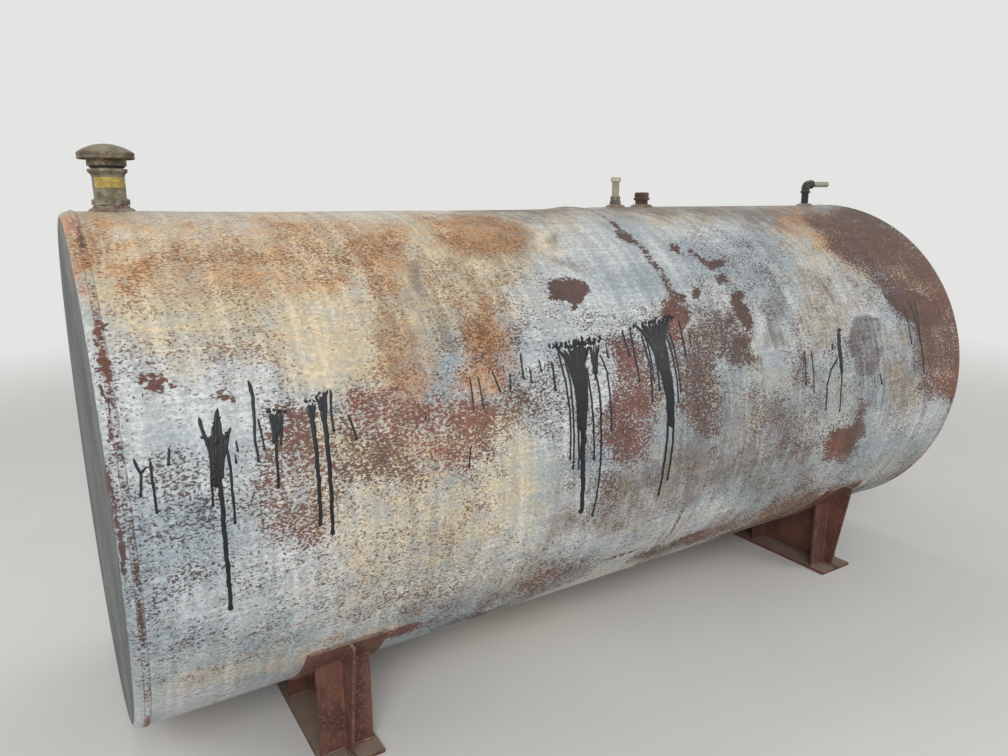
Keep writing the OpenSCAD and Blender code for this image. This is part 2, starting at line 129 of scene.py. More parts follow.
def grid_faces(rows: int, columns: int, wrap_rows: bool, wrap_columns: bool) -> Array:
    """Quads between neighbouring rows and columns of a grid of points.

    Args:
        rows: rows of points.
        columns: points in a row.
        wrap_rows: the last row joins the first.
        wrap_columns: the last column joins the first.

    Returns:
        The numbers of each quad's four points.
    """
    i, j = np.meshgrid(np.arange(rows if wrap_rows else rows - 1),
                       np.arange(columns if wrap_columns else columns - 1), indexing="ij")
    below, beside = (i + 1) % rows, (j + 1) % columns
    return np.stack([i * columns + j, below * columns + j, below * columns + beside, i * columns + beside],
                    axis=-1).reshape(-1, 4)


def pole_faces(rows: int, columns: int) -> Array:
    """Triangles from a grid's first and last columns to the two poles that follow its points.

    Args:
        rows: rows of points.
        columns: points in a row.

    Returns:
        The numbers of each triangle's three points.
    """
    i = np.arange(rows)
    after = (i + 1) % rows
    first, last = np.full(rows, rows * columns), np.full(rows, rows * columns + 1)
    return np.vstack([np.stack([first, after * columns, i * columns], -1),
                      np.stack([last, i * columns + columns - 1, after * columns + columns - 1], -1)])


def unit(vectors: Array) -> Array:
    """Vectors brought to length 1."""
    return vectors / np.linalg.norm(vectors, axis=-1, keepdims=True)


@dataclass
class Surface:
    """One closed surface: its points and its faces."""

    points: Array
    quads: Array
    triangles: Array = field(default_factory=lambda: np.zeros((0, 3), int))

    def outward(self) -> "Surface":
        """The same surface with its faces pointing outwards.

        The sum of a . (b x c) over the triangles is six times the volume, so a negative sum means that the
        faces point inwards.

        Returns:
            This surface, or one with its faces turned over.
        """
        corners = np.vstack([self.quads[:, [0, 1, 2]], self.quads[:, [0, 2, 3]], self.triangles])
        centred = self.points - self.points.mean(0)
        a, b, c = (centred[corners[:, k]] for k in range(3))
        if np.einsum("ij,ij->", a, np.cross(b, c)) < 0:
            return Surface(self.points, self.quads[:, ::-1], self.triangles[:, ::-1])
        return self


Axis = Callable[[Array], tuple[Array, Array, Array]]


def straight_axis(origin: Sequence[float], along: Sequence[float], side: Sequence[float]) -> Axis:
    """Straight axis.

    Args:
        origin: the point at height 0.
        along: the axis's direction.
        side: a direction across it.

    Returns:
        A function that gives the point and the two directions across at each height.
    """
    start, forward, across = (np.array(v, float) for v in (origin, along, side))
    other = np.cross(forward, across)

    def place(height: Array) -> tuple[Array, Array, Array]:
        """Point and directions across at each height."""
        return (start + height[:, None] * forward, np.broadcast_to(across, (len(height), 3)),
                np.broadcast_to(other, (len(height), 3)))
    return place


def bent_axis(origin: Sequence[float], foot: float, bend: float) -> Axis:
    """Axis that rises from origin, turns a quarter circle towards +X and goes on level.

    Args:
        origin: where it starts.
        foot: its length before the bend.
        bend: the bend's radius. Past foot the angle is the length in the bend over the radius.

    Returns:
        A function that gives the point and the two directions across at each length.
    """
    start = np.array(origin, float)

    def place(height: Array) -> tuple[Array, Array, Array]:
        """Point and directions across at each length along the axis."""
        angle = np.clip((height - foot) / bend, 0, np.pi / 2)
        level = np.maximum(height - foot - bend * np.pi / 2, 0)
        x = bend * (1 - np.cos(angle)) + level
        z = np.minimum(height, foot) + bend * np.sin(angle)
        zero = np.zeros_like(height)
        centre = start + np.stack([x, zero, z], -1)
        side = np.stack([np.cos(angle), zero, -np.sin(angle)], -1)
        return centre, side, np.broadcast_to(np.array([0.0, 1.0, 0.0]), (len(height), 3))
    return place


# Gives the radius of each point of a turned surface from its radius in the profile, its height and its turn
Shape = Callable[[Array, Array, Array], Array]


def turned(axis: Axis, profile: Array, sides: int = 96, shape: Shape | None = None) -> Surface:
    """Profile turned about an axis.

    A point is the axis at the profile's height plus the radius times (cos turn * side + sin turn * other).

    Args:
        axis: the line that it turns about.
        profile: radius and height of each point. One that starts on the axis ends on it too, and gets two
            poles; any other is a ring.
        sides: points around.
        shape: changes the radius around the turn.

    Returns:
        The closed surface.
    """
    ring = profile[0, 0] > 1e-7
    core = profile if ring else profile[1:-1]
    turn = np.linspace(0, 2 * np.pi, sides, endpoint=False)[:, None]
    radius = np.broadcast_to(core[:, 0], (sides, len(core)))
    if shape:
        radius = shape(radius, core[:, 1], turn)
    centre, side, other = axis(core[:, 1])
    across = np.cos(turn)[..., None] * side + np.sin(turn)[..., None] * other
    points = (centre + radius[..., None] * across).reshape(-1, 3)
    quads = grid_faces(sides, len(core), True, ring)
    if ring:
        return Surface(points, quads)
    poles = axis(profile[[0, -1], 1])[0]
    return Surface(np.vstack([points, poles]), quads, pole_faces(sides, len(core)))


def sweep(path: Array, out: Array, across: Array, lift: Array, closed: bool) -> Surface:
    """Section carried along a path.

    A point is the path's point plus across times the sideways direction plus lift times the outward one;
    sideways is the outward direction crossed with the path's own.

    Args:
        path: the path's points.
        out: the outward direction at each.
        across: sideways offset of each section point, one row for each path point.
        lift: outward offset of each section point.
        closed: the path is a loop; otherwise each end is closed by a fan.

    Returns:
        The closed surface.
    """
    step = np.roll(path, -1, 0) - np.roll(path, 1, 0) if closed else np.gradient(path, axis=0)
    side = unit(np.cross(out, unit(step)))
    points = path[:, None] + across[..., None] * side[:, None] + lift[..., None] * out[:, None]
    rows, columns = across.shape
    quads = grid_faces(rows, columns, closed, True)
    if closed:
        return Surface(points.reshape(-1, 3), quads)
    j = np.arange(columns)
    beside = (j + 1) % columns
    first, last = np.full(columns, rows * columns), np.full(columns, rows * columns + 1)
    end = (rows - 1) * columns
    fans = np.vstack([np.stack([first, j, beside], -1), np.stack([last, end + beside, end + j], -1)])
    centres = np.stack([points[0].mean(0), points[-1].mean(0)])
    return Surface(np.vstack([points.reshape(-1, 3), centres]), quads, fans)


@dataclass(frozen=True)
class BeadSection:
    """Section of a rippled weld bead: a low crown, and the points that close it underneath.

    The crown's height is height * (1 - u^2) with u from -1 to 1 across it, times one plus the ripple, a
    sine of the length along the bead whose crests bow back as u^2.
    """

    width: float
    height: float
    under: tuple[tuple[float, float], ...]
    pitch: float = 6 * MM
    ripple: float = 0.22
    crown_points: int = 7

    def rows(self, along: Array, fade: Array, rng: Rng) -> tuple[Array, Array]:
        """Places of the section's points along the bead.

        Args:
            along: length along the bead at each row.
            fade: share of the crown's height there.
            rng: source of the wavering.

        Returns:
            The sideways and the outward offset of every point, a row for each length.
        """
        u = np.linspace(-1, 1, self.crown_points)[None]
        s = along[:, None]
        width = self.width / 2 * (1 + 0.07 * wander(s, 55 * MM, rng)) * (0.85 + 0.15 * fade[:, None])
        shift = 0.35 * MM * wander(s, 90 * MM, rng)
        wave = np.sin(2 * np.pi * s / self.pitch + 2.2 * u ** 2 + 0.8 * wander(s, 40 * MM, rng))
        height = self.height * (1 + 0.12 * wander(s, 70 * MM, rng)) * fade[:, None]
        crown = height * (1 - u ** 2) * (1 + self.ripple * wave)
        low = np.array(self.under, float)
        rows = len(along)
        across = np.hstack([u * width + shift, np.broadcast_to(low[::-1, 0], (rows, len(low)))])
        return across, np.hstack([crown, np.broadcast_to(low[::-1, 1], (rows, len(low)))])


def bead(section: BeadSection, path: Array, out: Array, closed: bool,
         rng: Rng, fade_len: float = 0.0) -> Surface:
    """Weld bead along a path.

    Args:
        section: its section.
        path: the path's points.
        out: the outward direction at each.
        closed: the path is a loop, around which a whole number of ripples goes.
        rng: source of the wavering.
        fade_len: length over which an open bead sinks to nothing at both ends.

    Returns:
        The closed surface.
    """
    hops = np.linalg.norm(np.diff(path, axis=0), axis=1)
    along = np.concatenate([[0.0], np.cumsum(hops)])
    fade = np.ones(len(path))
    if fade_len:
        fade = smooth(0, fade_len, along) * smooth(along[-1], along[-1] - fade_len, along)
    if closed:
        total = along[-1] + np.linalg.norm(path[0] - path[-1])
        along = along * round(total / section.pitch) * section.pitch / total
    across, lift = section.rows(along, fade, rng)
    if closed:
        blend = smooth(0, 60 * MM, along)[:, None]
        across, lift = across * blend + across[-1] * (1 - blend), lift * blend + lift[-1] * (1 - blend)
    return sweep(path, out, across, lift, closed)


# The shell, the photograph's camera and the places of its marks

def middle_x(node: str) -> float:
    """Place along the tank of a CAD node's middle."""
    low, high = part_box(node)
    return (low.x + high.x) / 2


@dataclass(frozen=True)
class TankSizes:
    """Sizes of the shell, read from the boxes of the CAD nodes."""

    near: float
    far: float
    seam: float
    radius: float
    axis_z: float
    plate: float = 4.8 * MM
    knuckle: float = 15 * MM
    flange: float = 8 * MM

    @classmethod
    def from_frame(cls) -> "TankSizes":
        """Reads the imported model.

        Returns:
            Its sizes.
        """
        low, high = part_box("near_head")
        return cls(low.x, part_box("far_head")[1].x, middle_x("girth_weld"), (high.y - low.y) / 2,
                   (high.z + low.z) / 2)


class ShellSurface:
    """The tank's outer face as a function of x and of the turn from the top towards the front.

    A point is the axis plus (radius + lift - depth) times (0, -sin turn, cos turn). The depth is a sum of
    bell-shaped dents, faded out near the ring welds and around the top fittings.
    """

    # Place along the tank, turn in degrees, half length, half width in degrees and depth in millimetres
    DENTS = (
        (-0.85, 3, 0.30, 16, 5.0), (-0.30, 5, 0.34, 15, 7.5), (0.02, -8, 0.16, 12, 3.0),
        (-0.55, 62, 0.16, 9, 2.2), (0.55, 48, 0.22, 10, 2.6), (0.95, 74, 0.14, 8, 2.4),
        (-1.02, 88, 0.10, 7, 1.8), (0.30, 96, 0.20, 9, 2.0), (-0.2, 118, 0.2, 10, 2.4),
        (-0.8, -70, 0.25, 12, 4.0), (0.6, -95, 0.3, 14, 3.4), (1.0, -35, 0.16, 10, 2.6),
        (-0.3, -125, 0.2, 10, 2.0), (0.75, 28, 0.12, 8, 1.6),
    )

    def __init__(self, sizes: TankSizes, fittings: Sequence[float]) -> None:
        """Takes the shell's sizes and the places of the top fittings along the tank."""
        self.sizes = sizes
        self.fittings = fittings

    def depth(self, x: Array, turn: Array) -> Array:
        """Depth of the dents.

        Args:
            x, turn: places along the tank and turns from the top.

        Returns:
            The depth at each place.
        """
        total = 0.0
        for at, degrees, half, half_degrees, depth in self.DENTS:
            off = (turn - math.radians(degrees) + np.pi) % (2 * np.pi) - np.pi
            bell = np.exp(-((x - at) / half) ** 2 - (off / math.radians(half_degrees)) ** 2)
            total = total + depth * MM * bell
        for weld in (self.sizes.near + 24 * MM, self.sizes.seam, self.sizes.far - 24 * MM):
            total = total * smooth(12 * MM, 90 * MM, np.abs(x - weld))
        off = (turn + np.pi) % (2 * np.pi) - np.pi
        for at in self.fittings:
            total = total * smooth(45 * MM, 160 * MM, np.hypot(x - at, self.sizes.radius * off))
        return total

    def out(self, turn: Array) -> Array:
        """Outward direction at a turn."""
        return np.stack([np.zeros_like(turn), -np.sin(turn), np.cos(turn)], -1)

    def point(self, x: Array, turn: Array, lift: Array | float = 0.0) -> Array:
        """Points of the shell.

        Args:
            x, turn: places along the tank and turns from the top.
            lift: how far the points are raised.

        Returns:
            The point at each place.
        """
        radius = self.sizes.radius + lift - self.depth(x, turn)
        points = radius[..., None] * self.out(turn)
        points[..., 0] += x
        points[..., 2] += self.sizes.axis_z
        return points


@dataclass(frozen=True)
class PhotoView:
    """The photograph's camera, fitted to the tank's two rims and its top edge. Its angles are in degrees."""

    place: tuple[float, float, float] = (-1.4405, -2.010, 1.3045)
    yaw: float = 31.80
    pitch: float = 12.85
    roll: float = -0.35
    focal_px: float = 757.0
    width: int = 1008
    height: int = 756
    sensor_mm: float = 36.0

    def axes(self) -> tuple[Array, Array, Array]:
        """The camera's own directions.

        Returns:
            Its directions to the right, up and forward.
        """
        yaw, pitch, roll = (math.radians(a) for a in (self.yaw, self.pitch, self.roll))
        forward = np.array([math.sin(yaw) * math.cos(pitch), math.cos(yaw) * math.cos(pitch),
                            -math.sin(pitch)])
        level = np.array([math.cos(yaw), -math.sin(yaw), 0.0])
        raised = np.cross(level, forward)
        right = math.cos(roll) * level + math.sin(roll) * raised
        return right, -math.sin(roll) * level + math.cos(roll) * raised, forward

    def project(self, points: Array) -> tuple[Array, Array]:
        """Where the photograph shows the points.

        Args:
            points: the points.

        Returns:
            The pixel column and row of each.
        """
        right, up, forward = self.axes()
        away = points - np.array(self.place)
        scale = self.focal_px / (away @ forward)
        return self.width / 2 + (away @ right) * scale, self.height / 2 - (away @ up) * scale

    def on_shell(self, px: Array, py: Array,
                 sizes: TankSizes) -> tuple[Array, Array, Array]:
        """Where the ray of each pixel meets the shell.

        The ray meets the cylinder where a t^2 + 2 b t + c = 0. One that passes over it takes the place
        where it comes closest.

        Args:
            px, py: the pixels' columns and rows.
            sizes: the shell's sizes.

        Returns:
            The place along the tank, the turn and the metres a pixel of each.
        """
        right, up, forward = self.axes()
        ray = (forward + ((px - self.width / 2) / self.focal_px)[..., None] * right
               - ((py - self.height / 2) / self.focal_px)[..., None] * up)
        start = np.array(self.place) - np.array([0, 0, sizes.axis_z])
        a = (ray[..., 1:] ** 2).sum(-1)
        b = (ray[..., 1:] * start[1:]).sum(-1)
        c = (start[1:] ** 2).sum() - sizes.radius ** 2
        t = (-b - np.sqrt(np.maximum(b * b - a * c, 0))) / a
        hit = start + t[..., None] * ray
        return hit[..., 0], np.arctan2(-hit[..., 1], hit[..., 2]), t / self.focal_px

    def make_camera(self) -> None:
        """Makes the scene's camera at the photograph's place, with its angle of view."""
        data = bpy.data.cameras.new("camera")
        data.sensor_width = self.sensor_mm
        data.lens = self.focal_px * self.sensor_mm / self.width
        camera = bpy.data.objects.new("camera", data)
        right, up, forward = self.axes()
        camera.matrix_world = standing((right, up, -forward), self.place)
        bpy.context.collection.objects.link(camera)
        bpy.context.scene.camera = camera


def standing(axes: Sequence[Array], place: Sequence[float]) -> Matrix:
    """Matrix of an object at a place whose own X, Y and Z point along the axes."""
    return Matrix([[*row, at] for row, at in zip(np.stack(axes, 1).tolist(), place)] + [[0, 0, 0, 1]])


class Mark(Enum):
    """Kinds of weathering, and of painted light and shade, that a mesh carries as point attributes, each from
    0 to 1.
    """

    SUNLIT_CREAM = "sunlit_cream_film"
    RUST = "rust_wash"
    GRIME_AND_SHADE = "brown_grime_and_shade"
    STAIN_AND_SHADE = "grey_stain_and_shade"
    PRIMER = "primer_through"
    FLAKE = "paint_flaked"
    PITS = "pitting"
    SOUND = "sound_paint"
    RED = "red_primer"
    FACE = "shaded_flat_end"


@dataclass(frozen=True)
class Blot:
    """One mark on the photographed side.

    Its strength falls from full to nothing over the softness, with one half on the outline. The outline is
    the x and y of its corners in turn.
    """

    strength: float
    soft_px: float
    outline_px: tuple[float, ...]

    def cover(self, px: Array, py: Array) -> Array:
        """Strength from the distance to the outline, positive inside, over the softness.

        Args:
            px, py: the pixels' columns and rows.

        Returns:
            The strength at each.
        """
        corners = np.array(self.outline_px).reshape(-1, 2)
        low, high = corners.min(0) - self.soft_px, corners.max(0) + self.soft_px
        near = (px > low[0]) & (px < high[0]) & (py > low[1]) & (py < high[1])
        x, y = px[near], py[near]
        away, inside = np.full(len(x), np.inf), np.zeros(len(x), bool)
        for (ax, ay), (bx, by) in zip(corners, np.roll(corners, -1, 0)):
            along = ((x - ax) * (bx - ax) + (y - ay) * (by - ay)) / ((bx - ax) ** 2 + (by - ay) ** 2)
            along = np.clip(along, 0, 1)
            away = np.minimum(away, np.hypot(x - ax - along * (bx - ax), y - ay - along * (by - ay)))
            left = ((x - ax) * (by - ay) < (bx - ax) * (y - ay)) == (by > ay)
            inside ^= ((ay > y) != (by > y)) & left
        result = np.zeros(len(px))
        result[near] = self.strength * smooth(-0.5, 0.5, np.where(inside, away, -away) / self.soft_px)
        return result


# Strength and softness of each blot of a kind, then its outline, in the photograph's pixels
BLOTS: dict[Mark, tuple[Blot, ...]] = {kind: tuple(Blot(*row[:2], row[2:]) for row in rows)
                                       for kind, rows in {
    # Painted sunlight: cream blots where patches of sun fell on the paint, the narrow ones painted glints
    Mark.SUNLIT_CREAM: (
        (1, 83, 50, 200, 330, 200, 520, 206, 545, 250, 505, 330, 450, 330, 400, 400, 300, 392, 240, 372, 120,
         352, 90, 320, 60, 260),
        (0.75, 108, 300, 400, 520, 400, 570, 480, 500, 590, 330, 600, 280, 500),
        (0.45, 60, 764, 208, 840, 212, 884, 262, 874, 300, 842, 330, 816, 392, 790, 384, 788, 300, 756, 250),
        (0.7, 61, 500, 206, 620, 206, 570, 246, 516, 300),
        (0.34, 101, 690, 300, 770, 280, 870, 380, 850, 460, 740, 480, 600, 540, 600, 480),
        (0.6, 47, 560, 196, 760, 200, 700, 228, 560, 222),
        (0.9, 20, 786, 212, 812, 220, 872, 268, 866, 284, 820, 256, 784, 226),
        (0.5, 26, 792, 262, 842, 272, 852, 336, 822, 350, 796, 322),
        (0.5, 20, 884, 330, 912, 326, 926, 398, 900, 430, 884, 400),
        (0.9, 20, 860, 226, 930, 246, 1000, 320, 1000, 404, 936, 396, 920, 320),
    ),
    Mark.RUST: (
        (0.72, 54, 54, 210, 330, 206, 404, 214, 404, 262, 380, 294, 330, 304, 300, 294, 240, 306, 150, 310,
         100, 300, 66, 262),
        (1, 32, 60, 218, 118, 222, 114, 264, 84, 276, 66, 262),
        (0.95, 22, 102, 260, 152, 262, 150, 292, 110, 296),
        (0.9, 32, 318, 218, 408, 220, 404, 270, 398, 300, 370, 300, 348, 262),
        (0.85, 32, 400, 210, 500, 210, 534, 224, 528, 258, 480, 266, 430, 254),
        (0.65, 29, 198, 260, 264, 264, 258, 304, 204, 300),
        (0.85, 32, 460, 300, 502, 296, 516, 350, 506, 396, 450, 402, 452, 350),
        (0.8, 40, 766, 204, 858, 206, 900, 240, 866, 268, 810, 252, 775, 236),
        (0.3, 29, 540, 200, 780, 200, 780, 226, 540, 226),
        (0.7, 25, 420, 440, 456, 440, 452, 476, 426, 476),
        (0.25, 18, 696, 366, 722, 368, 722, 424, 700, 426),
        (0.6, 25, 900, 240, 950, 290, 958, 330, 930, 330, 905, 280),
        (0.7, 40, 366, 310, 394, 298, 424, 330, 446, 380, 440, 412, 404, 420, 376, 370),
        (1, 11, 50, 206, 72, 212, 88, 290, 78, 296, 60, 260),
    ),
    Mark.GRIME_AND_SHADE: (
        (0.66, 43, 362, 306, 394, 294, 424, 330, 450, 380, 446, 416, 404, 424, 382, 396, 366, 350),
        (0.9, 32, 440, 206, 532, 206, 532, 262, 498, 272, 450, 258),
        (0.7, 43, 458, 266, 508, 258, 514, 350, 468, 360),
        (0.5, 43, 330, 220, 420, 214, 440, 262, 400, 330, 366, 300),
        # These two blots along the top line are partly painted shadow, where the top lay in shade, and partly
        # brown dirt
        (1.1, 44, 440, 190, 700, 190, 890, 196, 912, 240, 850, 226, 700, 220, 440, 222),
        (1, 40, 690, 198, 850, 198, 936, 256, 900, 266, 830, 246, 760, 234),
        # This blot browns and darkens the lower right of the front
        (0.75, 54, 600, 474, 690, 440, 830, 440, 820, 490, 700, 510, 600, 550, 500, 560),
        (0.95, 11, 543, 231, 560, 231, 560, 245, 545, 245),
        (0.85, 14, 530, 247, 556, 250, 584, 254, 580, 268, 552, 262),
        (0.6, 40, 90, 640, 130, 640, 160, 735, 110, 735),
        (0.5, 40, 760, 224, 850, 250, 880, 330, 830, 330, 790, 270),
        (0.62, 22, 792, 262, 842, 272, 852, 336, 822, 350, 796, 322),
        (0.62, 20, 884, 330, 912, 326, 926, 398, 900, 430, 884, 400),
        (0.5, 9, 806, 300, 818, 300, 824, 420, 814, 420),
        (0.4, 9, 842, 330, 850, 330, 852, 420, 846, 424),
    ),
    Mark.STAIN_AND_SHADE: (
        (1.1, 9, 853, 321, 881, 321, 882, 374, 855, 374),
        (0.6, 16, 856, 366, 879, 366, 876, 404, 860, 404),
        (0.6, 23, 688, 304, 762, 310, 764, 372, 740, 380, 690, 368),
        # This wide blot darkens the lower right of the front
        (0.75, 60, 680, 390, 812, 386, 820, 460, 700, 500, 630, 540),
        (0.8, 14, 762, 286, 784, 290, 790, 346, 770, 344),
        (0.6, 31, 402, 254, 466, 254, 472, 350, 440, 352, 408, 310),
        (0.7, 12, 684, 374, 705, 374, 708, 462, 686, 462),
        (0.6, 12, 721, 370, 737, 370, 741, 452, 725, 452),
        (0.6, 12, 785, 374, 803, 372, 807, 452, 789, 454),
        (0.6, 23, 868, 330, 914, 320, 922, 392, 878, 432),
        # Painted shade: this blot darkens the shell low on the front
        (0.6, 26, 584, 466, 668, 462, 662, 520, 590, 524),
    ),
    Mark.PRIMER: (
        (0.71, 45, 252, 410, 300, 402, 344, 398, 352, 382, 400, 380, 404, 402, 450, 394, 508, 390, 512, 440,
         502, 472, 452, 480, 400, 486, 352, 498, 340, 550, 310, 564, 262, 548, 250, 480),
        (0.86, 22, 352, 383, 398, 382, 402, 420, 372, 426, 348, 412),
        (0.91, 31, 270, 406, 322, 408, 322, 470, 278, 470),
        (0.8, 35, 398, 398, 508, 392, 510, 436, 452, 476, 426, 476, 402, 440),
        (0.87, 35, 266, 478, 338, 480, 336, 544, 300, 550, 268, 532),
        (0.92, 30, 604, 332, 650, 332, 662, 400, 657, 466, 606, 468, 598, 420, 608, 380),
        (0.67, 50, 584, 400, 604, 380, 612, 470, 640, 500, 596, 520),
        (1.11, 15, 667, 298, 694, 306, 690, 346, 676, 350, 664, 325),
        (0.97, 28, 674, 342, 718, 350, 722, 432, 690, 438, 674, 400),
        (1.06, 20, 728, 330, 758, 333, 761, 366, 731, 368),
        (0.84, 32, 688, 304, 752, 306, 730, 368, 692, 368),
        (1.05, 30, 800, 206, 872, 196, 960, 236, 1000, 325, 1000, 412, 920, 400, 918, 351, 902, 326, 884, 306,
         868, 286, 846, 264, 818, 236),
        (1, 26, 886, 250, 918, 240, 990, 284, 940, 304, 904, 302, 890, 282),
        (0.8, 26, 918, 308, 1000, 318, 1000, 412, 922, 402),
        (1.15, 14, 850, 394, 864, 392, 866, 430, 850, 466, 824, 466, 822, 440, 848, 428),
        (0.82, 15, 795, 342, 812, 344, 813, 389, 797, 387),
        (0.65, 15, 102, 420, 116, 424, 122, 500, 130, 580, 118, 600, 108, 520),
        (0.72, 35, 500, 382, 556, 378, 562, 416, 506, 422),
        (0.32, 85, 320, 500, 440, 520, 520, 560, 420, 640, 290, 620),
        (0.58, 76, 740, 395, 820, 400, 860, 470, 760, 480),
    ),
    Mark.FLAKE: (
        (1, 12, 549, 281, 560, 277, 570, 280, 580, 277, 589, 284, 590, 293, 584, 298, 582, 308, 576, 313, 571,
         304, 565, 299, 556, 302, 549, 298),
        (1, 9, 728, 293, 738, 292, 741, 300, 748, 306, 751, 316, 754, 331, 746, 332, 739, 318, 731, 308),
        (1, 9, 686, 250, 698, 254, 708, 260, 724, 257, 724, 267, 711, 269, 697, 260),
        (1, 9, 716, 273, 724, 275, 728, 283, 719, 282),
        (1, 9, 691, 288, 700, 290, 700, 300, 692, 299),
        (1, 9, 675, 292, 686, 295, 687, 303, 676, 302),
        (0.7, 14, 90, 318, 104, 323, 109, 336, 98, 346, 91, 334),
        (0.7, 14, 98, 351, 113, 361, 115, 374, 104, 379, 97, 364),
        (0.84, 22, 137, 372, 156, 371, 178, 384, 164, 394, 145, 393),
        (1, 7, 614, 232, 628, 237, 638, 243, 630, 245, 616, 239),
        (1, 7, 670, 241, 679, 247, 679, 253, 671, 248),
        (0.78, 16, 212, 391, 223, 390, 239, 396, 236, 403, 224, 398, 213, 401),
        (0.8, 7, 107, 470, 112, 470, 118, 520, 127, 560, 125, 585, 118, 560),
        (0.75, 6, 101, 384, 105, 384, 112, 440, 108, 440),
        (1, 14, 828, 430, 851, 427, 853, 451, 833, 454),
        (0.75, 14, 663, 303, 692, 308, 688, 330, 668, 322),
        (0.62, 6, 606, 224, 612, 222, 634, 238, 652, 256, 668, 280, 680, 304, 688, 326, 682, 328, 672, 306,
         660, 284, 646, 260, 630, 243),
        (0.24, 30, 606, 334, 654, 332, 662, 400, 657, 470, 606, 470, 600, 420),
        (0.36, 30, 676, 334, 756, 330, 762, 372, 730, 384, 722, 440, 684, 440),
        (0.4, 20, 912, 380, 1000, 366, 1000, 412, 924, 408),
        (0.95, 12, 880, 292, 915, 290, 936, 300, 940, 320, 920, 328, 902, 314),
    ),
    Mark.PITS: (
        (0.7, 90, 80, 230, 700, 230, 960, 270, 960, 440, 560, 600, 120, 740),
        (0.66, 61, 104, 430, 180, 440, 262, 452, 266, 560, 240, 740, 110, 740),
        (0.8, 25, 122, 338, 187, 338, 192, 400, 128, 398),
        (0.85, 22, 194, 338, 270, 338, 272, 374, 204, 376),
        (1, 29, 400, 252, 468, 252, 472, 352, 440, 354, 408, 312),
        (1, 29, 454, 260, 532, 260, 532, 354, 490, 362, 454, 352),
        (0.85, 40, 488, 350, 562, 350, 572, 458, 500, 472),
        (0.7, 40, 96, 240, 330, 240, 330, 304, 106, 304),
        (0.9, 25, 590, 296, 704, 300, 694, 348, 598, 332),
        (0.8, 40, 690, 218, 784, 230, 804, 340, 698, 332),
        (0.3, 61, 256, 386, 524, 396, 524, 570, 266, 610),
        (0.9, 40, 756, 300, 884, 330, 874, 474, 756, 474),
    ),
    Mark.SOUND: (
        (0.6, 9, 50, 206, 70, 212, 84, 296, 76, 300, 58, 260),
        (1, 29, 534, 232, 655, 230, 668, 262, 676, 290, 600, 302, 556, 272),
        (0.7, 32, 283, 298, 347, 298, 352, 382, 298, 382),
        (0.6, 40, 520, 440, 566, 440, 556, 530, 500, 520),
        (0.7, 16, 760, 320, 785, 320, 785, 389, 762, 389),
        (0.5, 32, 143, 402, 257, 385, 256, 420, 180, 450, 146, 440),
    ),
    Mark.RED: (
        (0.7, 29, 352, 383, 400, 380, 404, 430, 372, 436, 348, 412),
        (0.63, 39, 398, 396, 508, 390, 512, 440, 452, 480, 404, 470),
        (0.35, 39, 256, 404, 330, 404, 330, 480, 340, 550, 270, 540),
        (0.5, 30, 610, 344, 648, 340, 660, 400, 655, 452, 620, 462, 606, 420),
        (0.56, 18, 668, 304, 690, 310, 688, 346, 672, 350),
        (0.8, 12, 822, 430, 848, 428, 848, 458, 826, 460),
        (0.12, 30, 860, 226, 920, 240, 990, 320, 990, 400, 930, 398, 910, 300),
        (0.4, 14, 926, 368, 970, 360, 970, 404, 932, 402),
        (0.8, 12, 50, 208, 76, 214, 94, 310, 116, 360, 118, 390, 92, 372, 60, 260),
        (0.45, 20, 134, 366, 180, 366, 244, 386, 242, 408, 204, 406, 134, 398),
    ),
}.items()}


@dataclass(frozen=True)
class HiddenMarks:
    """How many marks of one kind the hidden sides get, their half sizes and their strength."""

    count: int
    half: tuple[float, float]
    strength: tuple[float, float]


HIDDEN_MARKS: dict[Mark, HiddenMarks] = {
    Mark.SUNLIT_CREAM: HiddenMarks(30, (0.15, 0.45), (0.3, 0.9)),
    Mark.RUST: HiddenMarks(44, (0.05, 0.28), (0.4, 0.95)),
    Mark.GRIME_AND_SHADE: HiddenMarks(34, (0.06, 0.26), (0.4, 1.0)),
    Mark.STAIN_AND_SHADE: HiddenMarks(18, (0.05, 0.22), (0.4, 1.0)),
    Mark.PRIMER: HiddenMarks(90, (0.06, 0.34), (0.5, 1.0)),
    Mark.FLAKE: HiddenMarks(90, (0.012, 0.07), (0.6, 1.0)),
    Mark.PITS: HiddenMarks(60, (0.10, 0.45), (0.5, 1.0)),
    Mark.SOUND: HiddenMarks(18, (0.08, 0.30), (0.3, 0.9)),
    Mark.RED: HiddenMarks(40, (0.06, 0.24), (0.4, 1.0)),
}


